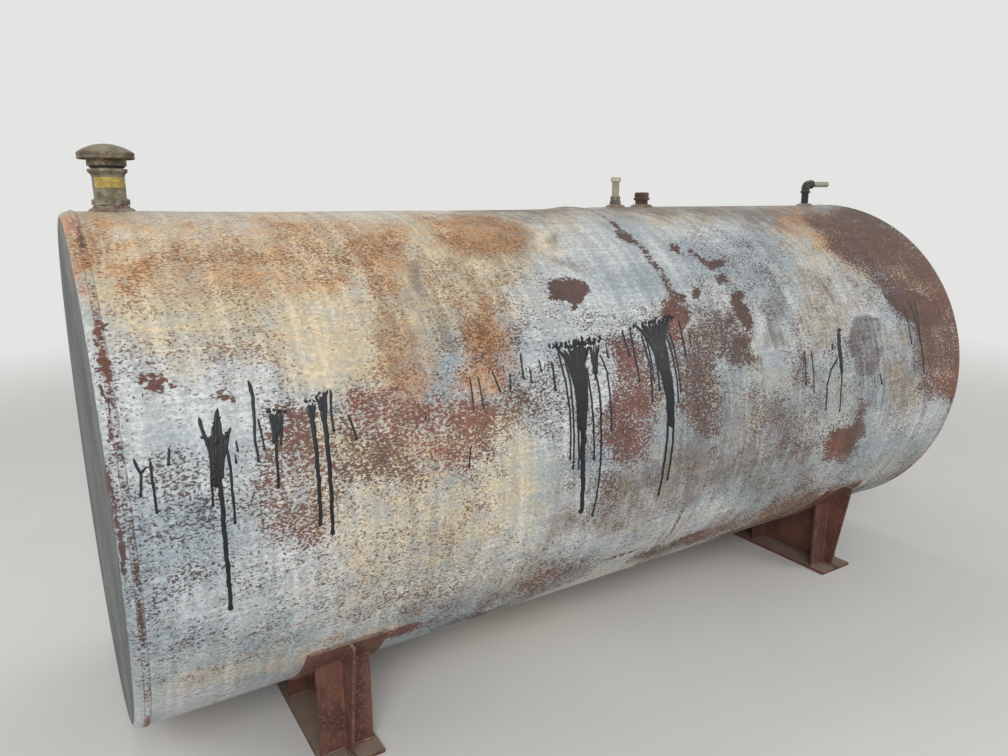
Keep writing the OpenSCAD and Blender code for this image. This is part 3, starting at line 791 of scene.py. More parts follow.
class MarkMap:
    """Strength of every kind of weathering and painted light at any point of the tank.

    Where the photograph's camera sees the shell, the marks are the blots. Elsewhere a mark is a soft
    ellipsoid around a random place of the shell.
    """

    # How far outlines are crumpled and over what length, broadly and finely, in the photograph's pixels
    CRUMPLES_PX = ((15, 38), (8, 13))
    # The same for the edge of the side that the photograph shows, in facing and in waves a metre
    EDGE_CRUMPLE, EDGE_WAVES = 0.09, 9
    # Facing of the surface to the camera, and height from the axis in radii, over which blots fade in
    FACING_EDGE, LOW_EDGE = (-0.18, 0.0), (-0.72, -0.2)

    def __init__(self, view: PhotoView, surface: ShellSurface) -> None:
        """Draws the random places once, so that every piece reads the same marks.

        Args:
            view: the photograph's camera.
            surface: the shell.
        """
        self.view = view
        self.sizes = surface.sizes
        rng = np.random.default_rng(SEED)
        self.hidden: dict[Mark, list[tuple[Array, float, float, float]]] = {}
        for kind, plan in HIDDEN_MARKS.items():
            spots = []
            for _ in range(plan.count):
                x = rng.uniform(self.sizes.near, self.sizes.far)
                turn = rng.uniform(-math.pi, math.pi)
                centre = surface.point(np.array(x), np.array(turn))
                length, height = rng.uniform(*plan.half, 2) * (1.3, 0.8)
                spots.append((centre, length, height, rng.uniform(*plan.strength)))
            self.hidden[kind] = spots

    def read(self, points: Array, normals: Array) -> dict[Mark, Array]:
        """Marks at each point.

        Args:
            points: the points.
            normals: the outward direction at each, which tells whether the photograph shows it.

        Returns:
            The strength of each kind at each point.
        """
        px, py = self.view.project(points)
        facing = (unit(np.array(self.view.place) - points) * normals).sum(-1)
        low = points[:, 2] - self.sizes.axis_z
        rng = np.random.default_rng(SEED + 7)
        u, v = points[:, 0] * self.EDGE_WAVES, points[:, 1] * self.EDGE_WAVES
        facing = facing + self.EDGE_CRUMPLE * crumple(u, v, rng)
        bottom, top = (edge * self.sizes.radius for edge in self.LOW_EDGE)
        seen = smooth(*self.FACING_EDGE, facing) * smooth(bottom, top, low)
        off_x, off_y = (sum(size * crumple(px / wave, py / wave, rng) for size, wave in self.CRUMPLES_PX)
                        for _ in range(2))
        front, back = seen > 0, seen < 1
        marks = {}
        for kind in Mark:
            share = 0.5 if kind is Mark.FLAKE else 1.0
            shown = self.shown(kind, (px + share * off_x)[front], (py + share * off_y)[front])
            marks[kind] = np.zeros(len(points))
            marks[kind][front] = seen[front] * shown
            marks[kind][back] += (1 - seen[back]) * self.unseen(kind, points[back])
        return marks

    def shown(self, kind: Mark, px: Array, py: Array) -> Array:
        """Strongest blot of a kind.

        Args:
            kind: the kind of weathering.
            px, py: the pixels' columns and rows.

        Returns:
            Its strength at each pixel.
        """
        best = np.zeros(len(px))
        for blot in BLOTS.get(kind, ()):
            best = np.maximum(best, blot.cover(px, py))
        return best

    def unseen(self, kind: Mark, points: Array) -> Array:
        """Strongest random mark: full inside 0.4 of its half sizes, nothing past 1.3, crumpled.

        Args:
            kind: the kind of weathering.
            points: the points.

        Returns:
            Its strength at each point.
        """
        best = np.zeros(len(points))
        rng = np.random.default_rng(SEED + 8)
        for centre, length, height, strength in self.hidden.get(kind, ()):
            off = points - centre
            reach = np.hypot(off[:, 0] / length, np.hypot(off[:, 1], off[:, 2]) / height)
            near = np.flatnonzero(reach < 1.9)
            u, v = off[near, 0] / length, (off[near, 1] + off[near, 2]) / height
            best[near] = np.maximum(best[near], strength * smooth(1.3, 0.4, reach[near] + crumple(u, v, rng)))
        return best


# Materials

def linear(code: str) -> tuple[float, float, float, float]:
    """Linear colour of an sRGB hex value."""
    parts = [int(code[i:i + 2], 16) / 255 for i in (1, 3, 5)]
    return (*(c / 12.92 if c <= 0.04045 else ((c + 0.055) / 1.055) ** 2.4 for c in parts), 1.0)


def add(tree: bpy.types.NodeTree, kind: str, inputs: dict | None = None, output: int | str = 0,
        **settings) -> bpy.types.NodeSocket:
    """Adds a shader node.

    Args:
        tree: the material's tree.
        kind: the node's type, without its "ShaderNode".
        inputs: a value or a socket for each input, by name or number.
        output: the output to return.
        settings: the node's own settings.

    Returns:
        The node's output.
    """
    node = tree.nodes.new("ShaderNode" + kind)
    for name, value in settings.items():
        setattr(node, name, value)
    for key, value in (inputs or {}).items():
        if isinstance(value, bpy.types.NodeSocket):
            tree.links.new(value, node.inputs[key])
        else:
            node.inputs[key].default_value = value
    return node.outputs[output]


# Settings of the nodes that a recipe uses most: a times b plus c, a soft step from a to b, and two mixes
PRODUCT_SUM = {"operation": "MULTIPLY_ADD"}
SOFT_STEP = {"interpolation_type": "SMOOTHSTEP"}
COLOUR_MIX = {"data_type": "RGBA", "output": 2}
NUMBER_MIX = {"data_type": "FLOAT"}


class Recipe:
    """A material under construction: its tree, and patterns whose grains have a real size."""

    def __init__(self, name: str) -> None:
        """Starts an empty material with its shader."""
        self.material = bpy.data.materials.new(name)
        self.material.use_nodes = True
        self.tree = self.material.node_tree
        self.shader = self.tree.nodes["Principled BSDF"]
        self.place = add(self.tree, "TexCoord", output="Object")
        self.patterns = 0

    def pattern(self, size_mm: Sequence[float], detail: float = 3.0,
                rough: float = 0.5) -> bpy.types.NodeSocket:
        """Noise about one half. Each call takes it from another place.

        Args:
            size_mm: size of its grains in millimetres along X, Y and Z.
            detail: octaves of finer noise.
            rough: strength of each octave over that of the one before.

        Returns:
            The noise.
        """
        self.patterns += 1
        scale, shift = tuple(1000.0 / s for s in size_mm), (7.3 * self.patterns, 3.1, 5.7)
        moved = add(self.tree, "VectorMath", {0: self.place, 1: scale, 2: shift}, **PRODUCT_SUM)
        inputs = {"Vector": moved, "Scale": 1.0, "Detail": detail, "Roughness": rough}
        return add(self.tree, "TexNoise", inputs)

    def finish(self, colour: bpy.types.NodeSocket, roughness: bpy.types.NodeSocket,
               relief_mm: bpy.types.NodeSocket) -> bpy.types.Material:
        """Joins the patterns to the shader.

        Args:
            colour: base colour.
            roughness: roughness.
            relief_mm: height of the relief in millimetres.

        Returns:
            The material.
        """
        bump = add(self.tree, "Bump", {"Height": relief_mm, "Distance": MM, "Strength": 1.0})
        for name, socket in (("Base Color", colour), ("Roughness", roughness), ("Normal", bump)):
            self.tree.links.new(socket, self.shader.inputs[name])
        return self.material


@dataclass(frozen=True)
class Coat:
    """One layer of weathering, or of painted light or shade, on paint.

    It shows where everywhere + gain * mark + ragged * (noise - 1/2) + clump * (broad noise - 1/2) + sound *
    (mark of sound paint) passes one half, with an edge that is soft on either side. Where the mark that
    tinges it is strong, it takes that colour. A coat whose grain runs down the shell is shaded in streaks,
    the others along the brush.
    """

    mark: Mark
    colour: str
    shade: str
    grain_mm: tuple[float, float, float]
    gain: float
    ragged: float
    everywhere: float = 0.0
    soft: float = 0.05
    cover: float = 1.0
    detail: float = 4.0
    clump: float = 0.0
    clump_mm: float = 70.0
    relief_mm: float = 0.0
    roughness: float = 0.75
    sound: float = 0.0
    tinge: Mark | None = None
    tinged: str = ""


@dataclass(frozen=True)
class WeatheredPaint:
    """Aluminium paint brushed over red-brown primer and left outdoors for decades.

    To the eye it is a chalky silver-grey with rain streaks, thin where the brush ran out, with primer,
    rust and pits coming through. Its bluish and cream patches and bright streaks are partly painted light and
    shade.
    """

    name: str = "weathered_aluminium_paint"
    shaded_blue: str = "#B3C0C7"
    pale: str = "#DDE1E2"
    roughness: float = 0.5
    coats: tuple[Coat, ...] = (
        # Painted shade: the flat ends a darker grey-green, as the same paint looks when turned from the light
        Coat(Mark.FACE, "#676D71", "#7A7E7D", (60, 60, 420), 1.0, 0.6, soft=0.2),
        # Painted sunlight: a cream film where patches of sun lit the paint, and random cream patches on the
        # hidden sides
        Coat(Mark.SUNLIT_CREAM, "#FFF0CD", "#F0D8AC", (50, 44, 44), 0.66, 0.9, 0.05, 0.42, 0.92, 5, clump=0.7,
             clump_mm=140),
        # Grey-violet stain in bands down the shell; low on the front it is painted shade
        Coat(Mark.STAIN_AND_SHADE, "#6E696C", "#7E7576", (15, 150, 150), 0.62, 0.9, 0.02, 0.34, 0.85, 5, clump=0.6,
             clump_mm=110),
        # Brown dirt; along the top line it is partly a painted shadow
        Coat(Mark.GRIME_AND_SHADE, "#A38465", "#67533F", (24, 60, 60), 0.62, 0.9, 0.02, 0.36, 0.85, 5, clump=0.8,
             clump_mm=120),
        # Thin orange wash that rain carried down from rust above
        Coat(Mark.RUST, "#F6BC7E", "#DC9C60", (40, 36, 36), 0.62, 1.0, 0.0, 0.36, 0.8, 5, clump=0.9,
             clump_mm=130, tinge=Mark.RED, tinged="#E89C7C"),
        # Specks of that rust
        Coat(Mark.RUST, "#B87A4A", "#8E6042", (7, 4.4, 4.4), 0.5, 2.0, cover=0.9, clump=1.0, clump_mm=90,
             relief_mm=-0.1, roughness=0.85, sound=-0.2),
        # Primer where the brushed coat has worn thin, with specks of paint left on it
        Coat(Mark.PRIMER, "#83675C", "#5B4645", (7.5, 4.4, 4.4), 0.66, 2.3, 0.04, cover=0.96, clump=0.9,
             clump_mm=110, relief_mm=-0.12, roughness=0.82, sound=-0.4, tinge=Mark.RED, tinged="#A3604F"),
        # Whole flakes of paint gone, down to dark primer
        Coat(Mark.FLAKE, "#785C55", "#64504C", (12, 8, 8), 1.0, 2.3, soft=0.04, detail=6, clump=0.2,
             clump_mm=40, relief_mm=-0.25, roughness=0.8, tinge=Mark.RED, tinged="#935F50"),
        # Pits and dark specks, warm brown under the painted sunlight
        Coat(Mark.PITS, "#484145", "#5F4440", (6.6, 4.2, 4.2), 0.3, 2.0, 0.13, cover=0.9, clump=0.9,
             relief_mm=-0.2, roughness=0.85, sound=-0.3, tinge=Mark.SUNLIT_CREAM, tinged="#A67D56"),
    )

    def build(self) -> bpy.types.Material:
        """Makes the material: silver paint, the coats over it in order, then its brush marks and streaks,
        which are partly painted glints.

        Returns:
            The material.
        """
        r = Recipe(self.name)
        tree = r.tree
        # Painted dappled light, in part: broad random patches mix the paint's bluish look in shade with its
        # paler look in light
        broad = add(tree, "MapRange", {0: r.pattern((380, 260, 260), 4), 1: 0.38, 2: 0.62}, **SOFT_STEP)
        colour = add(tree, "Mix", {0: broad, 6: linear(self.shaded_blue), 7: linear(self.pale)}, **COLOUR_MIX)
        streak, brush = r.pattern((26, 500, 500), 5, 0.6), r.pattern((260, 7, 7), 3)
        mottle = r.pattern((11, 8, 8), 5, 0.75)
        tone, relief = -0.05, 0.0
        # The streak layer is partly painted highlight: bright vertical bands where light glinted down the
        # shell, besides rain streaks
        for layer, share in ((streak, 0.3), (mottle, 0.6), (brush, 0.2)):
            tone = add(tree, "Math", {0: layer, 1: share, 2: tone}, **PRODUCT_SUM)
        for layer, height_mm in ((mottle, 0.16), (brush, 0.2)):
            relief = add(tree, "Math", {0: layer, 1: height_mm, 2: relief}, **PRODUCT_SUM)
        tone = add(tree, "MapRange", {0: tone, 1: 0.42, 2: 0.64}, **SOFT_STEP)
        tone = add(tree, "Mix", {0: tone, 6: linear("#C2C3C4"), 7: linear("#FFFFFF")}, **COLOUR_MIX)
        low, high = self.roughness - 0.08, self.roughness + 0.1
        roughness = add(tree, "MapRange", {0: mottle, 1: 0.3, 2: 0.7, 3: low, 4: high}, **SOFT_STEP)
        drawn = add(tree, "Mix", {0: 0.55, 2: brush, 3: mottle}, **NUMBER_MIX)
        sound = add(tree, "Attribute", output="Fac", attribute_name=Mark.SOUND.value)
        for coat in self.coats:
            mark = add(tree, "Attribute", output="Fac", attribute_name=coat.mark.value)
            level = coat.everywhere - (coat.ragged + coat.clump) / 2
            grain = r.pattern(coat.grain_mm, coat.detail, 0.6)
            value = add(tree, "Math", {0: grain, 1: coat.ragged, 2: level}, **PRODUCT_SUM)
            value = add(tree, "Math", {0: mark, 1: coat.gain, 2: value}, **PRODUCT_SUM)
            if coat.clump:
                broad = r.pattern((coat.clump_mm,) * 3, 6, 0.62)
                value = add(tree, "Math", {0: broad, 1: coat.clump, 2: value}, **PRODUCT_SUM)
            if coat.sound:
                value = add(tree, "Math", {0: sound, 1: coat.sound, 2: value}, **PRODUCT_SUM)
            low, high = 0.5 - coat.soft, 0.5 + coat.soft
            mask = add(tree, "MapRange", {0: value, 1: low, 2: high, 4: coat.cover}, **SOFT_STEP)
            shading = streak if coat.grain_mm[0] < coat.grain_mm[2] else drawn
            shade = add(tree, "MapRange", {0: shading, 1: 0.4, 2: 0.58}, **SOFT_STEP)
            tint = add(tree, "Mix", {0: shade, 6: linear(coat.colour), 7: linear(coat.shade)}, **COLOUR_MIX)
            if coat.tinge:
                other = add(tree, "Attribute", output="Fac", attribute_name=coat.tinge.value)
                tint = add(tree, "Mix", {0: other, 6: tint, 7: linear(coat.tinged)}, **COLOUR_MIX)
            colour = add(tree, "Mix", {0: mask, 6: colour, 7: tint}, **COLOUR_MIX)
            roughness = add(tree, "Mix", {0: mask, 2: roughness, 3: coat.roughness}, **NUMBER_MIX)
            if coat.relief_mm:
                relief = add(tree, "Math", {0: mask, 1: coat.relief_mm, 2: relief}, **PRODUCT_SUM)
        colour = add(tree, "Mix", {0: 1.0, 6: colour, 7: tone}, blend_type="MULTIPLY", **COLOUR_MIX)
        return r.finish(colour, roughness, relief)


@dataclass(frozen=True)
class Finish:
    """A plain finish: two tones in soft mottling, spots of a third colour, and a grain in its relief."""

    name: str
    base: str
    shade: str
    spot: str
    mottle_mm: tuple[float, float, float] = (26, 26, 26)
    spot_mm: float = 5.0
    spot_level: float = 0.62
    spot_soft: float = 0.04
    grain_mm: tuple[float, float, float] = (1.6, 1.6, 1.6)
    relief_mm: float = 0.12
    roughness: tuple[float, float] = (0.5, 0.7)
    metallic: float = 0.0
    dust: float = 0.3
    dust_colour: str = "#A39A88"

    def build(self) -> bpy.types.Material:
        """Makes the material. Dust lies on faces that look up.

        Returns:
            The material.
        """
        r = Recipe(self.name)
        tree = r.tree
        mottle = r.pattern(self.mottle_mm, 4)
        fine = r.pattern(self.grain_mm, 2)
        tone = add(tree, "MapRange", {0: mottle, 1: 0.38, 2: 0.62}, **SOFT_STEP)
        colour = add(tree, "Mix", {0: tone, 6: linear(self.base), 7: linear(self.shade)}, **COLOUR_MIX)
        low, high = self.spot_level - self.spot_soft, self.spot_level + self.spot_soft
        grain = r.pattern((self.spot_mm,) * 3, 4, 0.6)
        spots = add(tree, "MapRange", {0: grain, 1: low, 2: high}, **SOFT_STEP)
        colour = add(tree, "Mix", {0: spots, 6: colour, 7: linear(self.spot)}, **COLOUR_MIX)
        low, high = self.roughness
        roughness = add(tree, "MapRange", {0: mottle, 1: 0.35, 2: 0.65, 3: low, 4: high}, **SOFT_STEP)
        if self.dust:
            up = add(tree, "SeparateXYZ", {0: add(tree, "NewGeometry", output="Normal")}, 2)
            lying = add(tree, "Math", {0: r.pattern((18, 18, 18), 4), 1: 0.9, 2: up}, **PRODUCT_SUM)
            lying = add(tree, "MapRange", {0: lying, 1: 0.95, 2: 1.45, 4: self.dust}, **SOFT_STEP)
            colour = add(tree, "Mix", {0: lying, 6: colour, 7: linear(self.dust_colour)}, **COLOUR_MIX)
            roughness = add(tree, "Mix", {0: lying, 2: roughness, 3: 0.9}, **NUMBER_MIX)
        r.shader.inputs["Metallic"].default_value = self.metallic
        relief = add(tree, "Math", {0: spots, 1: -self.relief_mm, 2: 0.0}, **PRODUCT_SUM)
        relief = add(tree, "Math", {0: fine, 1: self.relief_mm, 2: relief}, **PRODUCT_SUM)
        return r.finish(colour, roughness, relief)


@dataclass(frozen=True)
class RoofTar:
    """Roofing tar that ran and set: near black, glossy on its crowns and dulled by dust."""

    name: str = "set_roofing_tar"

    def build(self) -> bpy.types.Material:
        """Makes the material.

        Returns:
            The material.
        """
        r = Recipe(self.name)
        tree = r.tree
        dust = r.pattern((11, 11, 16), 5, 0.65)
        film = add(tree, "MapRange", {0: dust, 1: 0.45, 2: 0.75, 4: 0.3}, **SOFT_STEP)
        colour = add(tree, "Mix", {0: film, 6: linear("#16181E"), 7: linear("#46443F")}, **COLOUR_MIX)
        roughness = add(tree, "MapRange", {0: dust, 1: 0.35, 2: 0.7, 3: 0.35, 4: 0.65}, **SOFT_STEP)
        r.shader.inputs["Specular IOR Level"].default_value = 0.35
        relief = add(tree, "Math", {0: r.pattern((4, 4, 9), 2), 1: 0.25, 2: 0.0}, **PRODUCT_SUM)
        return r.finish(colour, roughness, relief)


class Palette:
    """Every finish of the tank, made once."""

    FINISHES = (
        # Sand-cast aluminium gone dull brown-grey, with a coarse skin
        Finish("weathered_cast_aluminium", "#8E8572", "#6C6352", "#4E4638", spot_mm=4,
               grain_mm=(1.4, 1.4, 1.4), relief_mm=0.16, roughness=(0.48, 0.7), metallic=0.35, dust=0.35),
        # Grey iron casting, browner, with pitting
        Finish("weathered_cast_iron", "#7E725D", "#5D5342", "#423729", spot_mm=5, spot_level=0.58,
               grain_mm=(1.8, 1.8, 1.8), relief_mm=0.2, roughness=(0.55, 0.78), metallic=0.2, dust=0.45),
        # Machined brass that has browned
        Finish("browned_brass", "#9A7B3E", "#6F5628", "#4B3A1D", grain_mm=(4, 4, 0.8), relief_mm=0.04,
               roughness=(0.35, 0.55), metallic=1.0, dust=0.1),
        # Faded yellow vinyl, rubbed and dirty, left blank
        Finish("faded_yellow_vinyl", "#B9A04C", "#9F8A42", "#6B5E3C", (14, 14, 9), 4.5, 0.6,
               grain_mm=(3, 3, 3), relief_mm=0.04, roughness=(0.4, 0.6), dust=0.0),
        # Nitrile rubber, matt
        Finish("nitrile_rubber", "#17181A", "#232426", "#3A3936", grain_mm=(1.2, 1.2, 1.2), relief_mm=0.03,
               roughness=(0.7, 0.85), dust=0.1),
        # Zinc-plated steel gone dull
        Finish("dull_zinc_plate", "#A7A8A6", "#87888A", "#6E6256", grain_mm=(3, 3, 0.5), relief_mm=0.03,
               roughness=(0.35, 0.55), metallic=1.0, dust=0.1),
        # Die-cast zinc body with grey dirt
        Finish("dull_die_casting", "#77756C", "#57544B", "#3F3A32", grain_mm=(1.2, 1.2, 1.2), relief_mm=0.06,
               roughness=(0.45, 0.65), metallic=0.4),
        # Clear plastic that sunlight has clouded, drawn as a milky solid because its inside no longer shows
        Finish("sun_clouded_plastic", "#A7A48C", "#8B886F", "#5F5C4A", grain_mm=(2, 2, 6), relief_mm=0.05,
               roughness=(0.25, 0.45), dust=0.2),
        # Red moulded plastic, faded
        Finish("faded_red_plastic", "#8C3A30", "#74302A", "#4F2622", relief_mm=0.03, dust=0.0),
        # White moulded plastic gone chalky
        Finish("chalky_plastic", "#CFCCC0", "#B3AE9E", "#7D766A", grain_mm=(1.5, 1.5, 1.5), relief_mm=0.06,
               roughness=(0.6, 0.8), dust=0.4),
        # Malleable iron with an even brown rust
        Finish("rusted_malleable_iron", "#5D473D", "#443531", "#7A5640", spot_mm=3.5, spot_level=0.6,
               grain_mm=(1.2, 1.2, 1.2), relief_mm=0.18, roughness=(0.7, 0.88)),
        # Black iron pipe, oiled once and now dusty
        Finish("dark_iron_pipe", "#35322F", "#262423", "#5A4436", spot_mm=4, grain_mm=(1.4, 1.4, 1.4),
               roughness=(0.55, 0.75), dust=0.4),
        # Galvanised pipe whose zinc has gone grey
        Finish("grey_galvanised_pipe", "#A9A59B", "#8D897F", "#6F5E4C", mottle_mm=(9, 9, 9), relief_mm=0.05,
               roughness=(0.42, 0.6), metallic=0.5, dust=0.3),
        # Red-brown primer on structural plate, with mill marks, rust and splashed dirt
        Finish("primed_structural_plate", "#6C463D", "#543731", "#7F583F", (60, 60, 60), 7, 0.58, 0.05,
               (3, 3, 3), 0.15, (0.68, 0.85), dust=0.5),
        # Rough welded steel boss: old silver paint mostly gone to rust-brown
        Finish("worn_painted_boss", "#8C857C", "#74543F", "#5A4038", (20, 20, 20), 6, 0.55, 0.05,
               (1.8, 1.8, 1.8), 0.16, (0.6, 0.8), dust=0.35),
    )

    def __init__(self) -> None:
        """Makes the materials."""
        made = [*self.FINISHES, RoofTar(), WeatheredPaint()]
        self.materials = {finish.name: finish.build() for finish in made}

    def __getitem__(self, name: str) -> bpy.types.Material:
        """The material of a finish."""
        return self.materials[name]


# Pieces

class Body(Enum):
    """Bodies that pieces ride on."""

    TANK = "tank"
    LID = "lid"


@dataclass
class Piece:
    """One visible piece: closed surfaces that share a finish."""

    name: str
    surfaces: list[Surface]
    finish: str
    slot: str
    replaces: tuple[str, ...] = ()
    body: Body = Body.TANK
    sharp_degrees: float = 32.0
    marks: dict[Mark, Array] | None = None

    def make(self, palette: Palette) -> None:
        """Makes the object, with its place in its mesh, parents it to the body that it rides on and hides the
        CAD nodes that it stands for.

        Args:
            palette: the finishes.
        """
        points, faces, count = [], [], 0
        for surface in (s.outward() for s in self.surfaces):
            faces += (surface.quads + count).tolist() + (surface.triangles + count).tolist()
            points.append(surface.points)
            count += len(surface.points)
        mesh = bpy.data.meshes.new(self.name)
        mesh.from_pydata(np.vstack(points), [], faces)
        for kind, values in (self.marks or {}).items():
            carried = mesh.attributes.new(kind.value, "FLOAT", "POINT")
            carried.data.foreach_set("value", values.astype(np.float32))
        mesh.shade_smooth()
        mesh.set_sharp_from_angle(angle=math.radians(self.sharp_degrees))
        mesh.materials.append(palette[self.finish])
        piece = bpy.data.objects.new(self.name, mesh)
        bpy.context.collection.objects.link(piece)
        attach(piece, self.body.value)
        if self.replaces:
            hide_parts(*self.replaces)
        log.info("%s: %d faces, %s", self.name, len(faces), self.finish)


@dataclass
class Part:
    """A part of the tank, built on the shell's surface with shared finishes and marks."""

    surface: ShellSurface
    palette: Palette
    marks: MarkMap


@dataclass
class ShellCourse(Part):
    """One rolled course of the shell: a plate of real thickness with holes for its bungs.

    The outer face is the shell's surface on a grid that is finer on the front and over the top, between two
    turns in degrees. The inner face lies a plate's thickness inside it, and walls join the two along every
    edge. A hole is its place along the tank and its radius.
    """

    name: str
    holes: tuple[tuple[float, float], ...]
    step: float = 10 * MM
    fine_from: float = -14.0
    fine_to: float = 116.0
    fine_cells: int = 212
    coarse_cells: int = 118

    def make(self) -> None:
        """Makes the course in place of its CAD node."""
        low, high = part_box(self.name)
        rows = round((high.x - low.x) / self.step)
        x = np.linspace(low.x, high.x, rows + 1)
        turn = np.radians(np.concatenate([
            np.linspace(self.fine_from, self.fine_to, self.fine_cells, endpoint=False),
            np.linspace(self.fine_to, self.fine_from + 360, self.coarse_cells, endpoint=False)]))
        x, turn = (a.copy() for a in np.meshgrid(x, turn, indexing="ij"))
        kept = self.cut(x, turn)
        columns = turn.shape[1]
        outer = self.surface.point(x, turn)
        inner = self.surface.point(x, turn, -self.surface.sizes.plate)
        points = np.concatenate([outer.reshape(-1, 3), inner.reshape(-1, 3)])
        quads = self.faces(kept, columns)
        used = np.unique(quads)
        renumber = np.zeros(len(points), int)
        renumber[used] = np.arange(len(used))
        out = self.surface.out(np.concatenate([turn.ravel(), turn.ravel()]))[used]
        Piece(self.name + "_plate", [Surface(points[used], renumber[quads])], "weathered_aluminium_paint",
              "shell_paint", (self.name,), marks=self.marks.read(points[used], out)).make(self.palette)

    def cut(self, x: Array, turn: Array) -> Array:
        """Cuts the holes: the points around each are moved onto its circle.

        Args:
            x: place of each grid point along the tank, which is changed.
            turn: its turn, which is changed.

        Returns:
            Which cells stay.
        """
        radius = self.surface.sizes.radius
        arc = radius * ((turn + np.pi) % (2 * np.pi) - np.pi)
        kept = np.ones((x.shape[0] - 1, x.shape[1]), bool)
        for at, size in self.holes:
            centre_x = (x[1:] + x[:-1]) / 2
            centre_arc = (arc + np.roll(arc, -1, 1))[:-1] / 2
            hole = np.hypot(centre_x - at, centre_arc) < size
            kept &= ~hole
            near = self.touches(hole) & self.touches(kept)
            reach = np.hypot(x - at, arc)[near]
            x[near] = at + (x[near] - at) * size / reach
            turn[near] = arc[near] * size / reach / radius
        return kept

    @staticmethod
    def touches(cells: Array) -> Array:
        """Finds the corners of cells.

        Args:
            cells: which cells are meant.

        Returns:
            Which points belong to one of them.
        """
        touched = np.zeros((cells.shape[0] + 1, cells.shape[1]), bool)
        for rows in (slice(None, -1), slice(1, None)):
            touched[rows] |= cells | np.roll(cells, 1, 1)
        return touched

    @staticmethod
    def faces(kept: Array, columns: int) -> Array:
        """Outer and inner quads of the cells that stay, and a wall at each edge that has no neighbour.

        Args:
            kept: which cells stay.
            columns: points around.

        Returns:
            The numbers of each quad's four points.
        """
        rows = kept.shape[0]
        i, j = np.meshgrid(np.arange(rows), np.arange(columns), indexing="ij")
        beside = (j + 1) % columns
        a, b = i * columns + j, (i + 1) * columns + j
        c, d = (i + 1) * columns + beside, i * columns + beside
        inside = (rows + 1) * columns
        padded = np.pad(kept, ((1, 1), (0, 0)))
        edges = ((a, b, ~np.roll(kept, 1, 1)), (b, c, ~padded[2:]), (c, d, ~np.roll(kept, -1, 1)),
                 (d, a, ~padded[:-2]))
        quads = [np.stack([a, b, c, d], -1)[kept], np.stack([a, d, c, b], -1)[kept] + inside]
        for p, q, open_side in edges:
            chosen = kept & open_side
            quads.append(np.stack([q, p, p + inside, q + inside], -1)[chosen])
        return np.vstack(quads)


@dataclass
class FlangedHead(Part):
    """Flat head with a small knuckle and a straight flange, slightly buckled by its welding.

    Its section is turned about the tank's axis. The flat part is pushed in by a few waves of millimetres
    that die away towards the knuckle. Inward is 1 or -1, the direction of +X into the tank.
    """

    name: str
    inward: int
    sides: int = 320
    rings: int = 46
    hidden_rings: int = 8
    buckle_mm: float = 3.0

    def make(self) -> None:
        """Makes the head in place of its CAD node."""
        s = self.surface.sizes
        flat = s.radius - s.knuckle
        arc = np.linspace(0, np.pi / 2, 9)
        outer = np.stack([flat + s.knuckle * np.sin(arc), s.knuckle * (1 - np.cos(arc))], -1)
        small = s.knuckle - s.plate
        inner = np.stack([flat + small * np.sin(arc), s.knuckle - small * np.cos(arc)], -1)[::-1]
        across = np.linspace(0, flat, self.rings, endpoint=False)
        within = np.linspace(0, flat, self.hidden_rings, endpoint=False)[::-1]
        edge = np.array([[s.radius, s.knuckle + s.flange], [s.radius - s.plate, s.knuckle + s.flange]])
        profile = np.vstack([np.stack([across, 0 * across], -1), outer, edge, inner,
                             np.stack([within, 0 * within + s.plate], -1)])
        start = s.near if self.inward > 0 else s.far
        axis = straight_axis((start, 0, s.axis_z), (self.inward, 0, 0), (0, 0, 1))
        head = turned(axis, profile, self.sides)
        y, z = head.points[:, 1], head.points[:, 2] - s.axis_z
        r = np.hypot(y, z)
        wave = (0.5 + 0.3 * np.cos(2 * np.arctan2(z, y) + 0.9)
                + 0.2 * np.cos(9 * y - 1.1) * np.cos(7 * z + 0.4))
        head.points[:, 0] += self.inward * self.buckle_mm * MM * wave * smooth(flat, 0.55 * flat, r)
        bulge = np.clip((r - flat) / s.knuckle, 0, 1)
        out = np.stack([-self.inward * np.sqrt(1 - bulge ** 2), bulge * y / np.maximum(r, MM),
                        bulge * z / np.maximum(r, MM)], -1)
        found = self.marks.read(head.points, out)
        # Painted shade: the flat face, but not the knuckle, takes the darker grey of paint in shade
        found[Mark.FACE] = smooth(flat + 0.6 * s.knuckle, flat - 0.1 * s.knuckle, r)
        for kind in (Mark.SUNLIT_CREAM, Mark.RUST, Mark.RED):
            found[kind] = found[kind] * (1 - 0.75 * found[Mark.FACE])
        Piece(self.name + "_plate", [head], "weathered_aluminium_paint", "head_paint", (self.name,),
              marks=found).make(self.palette)


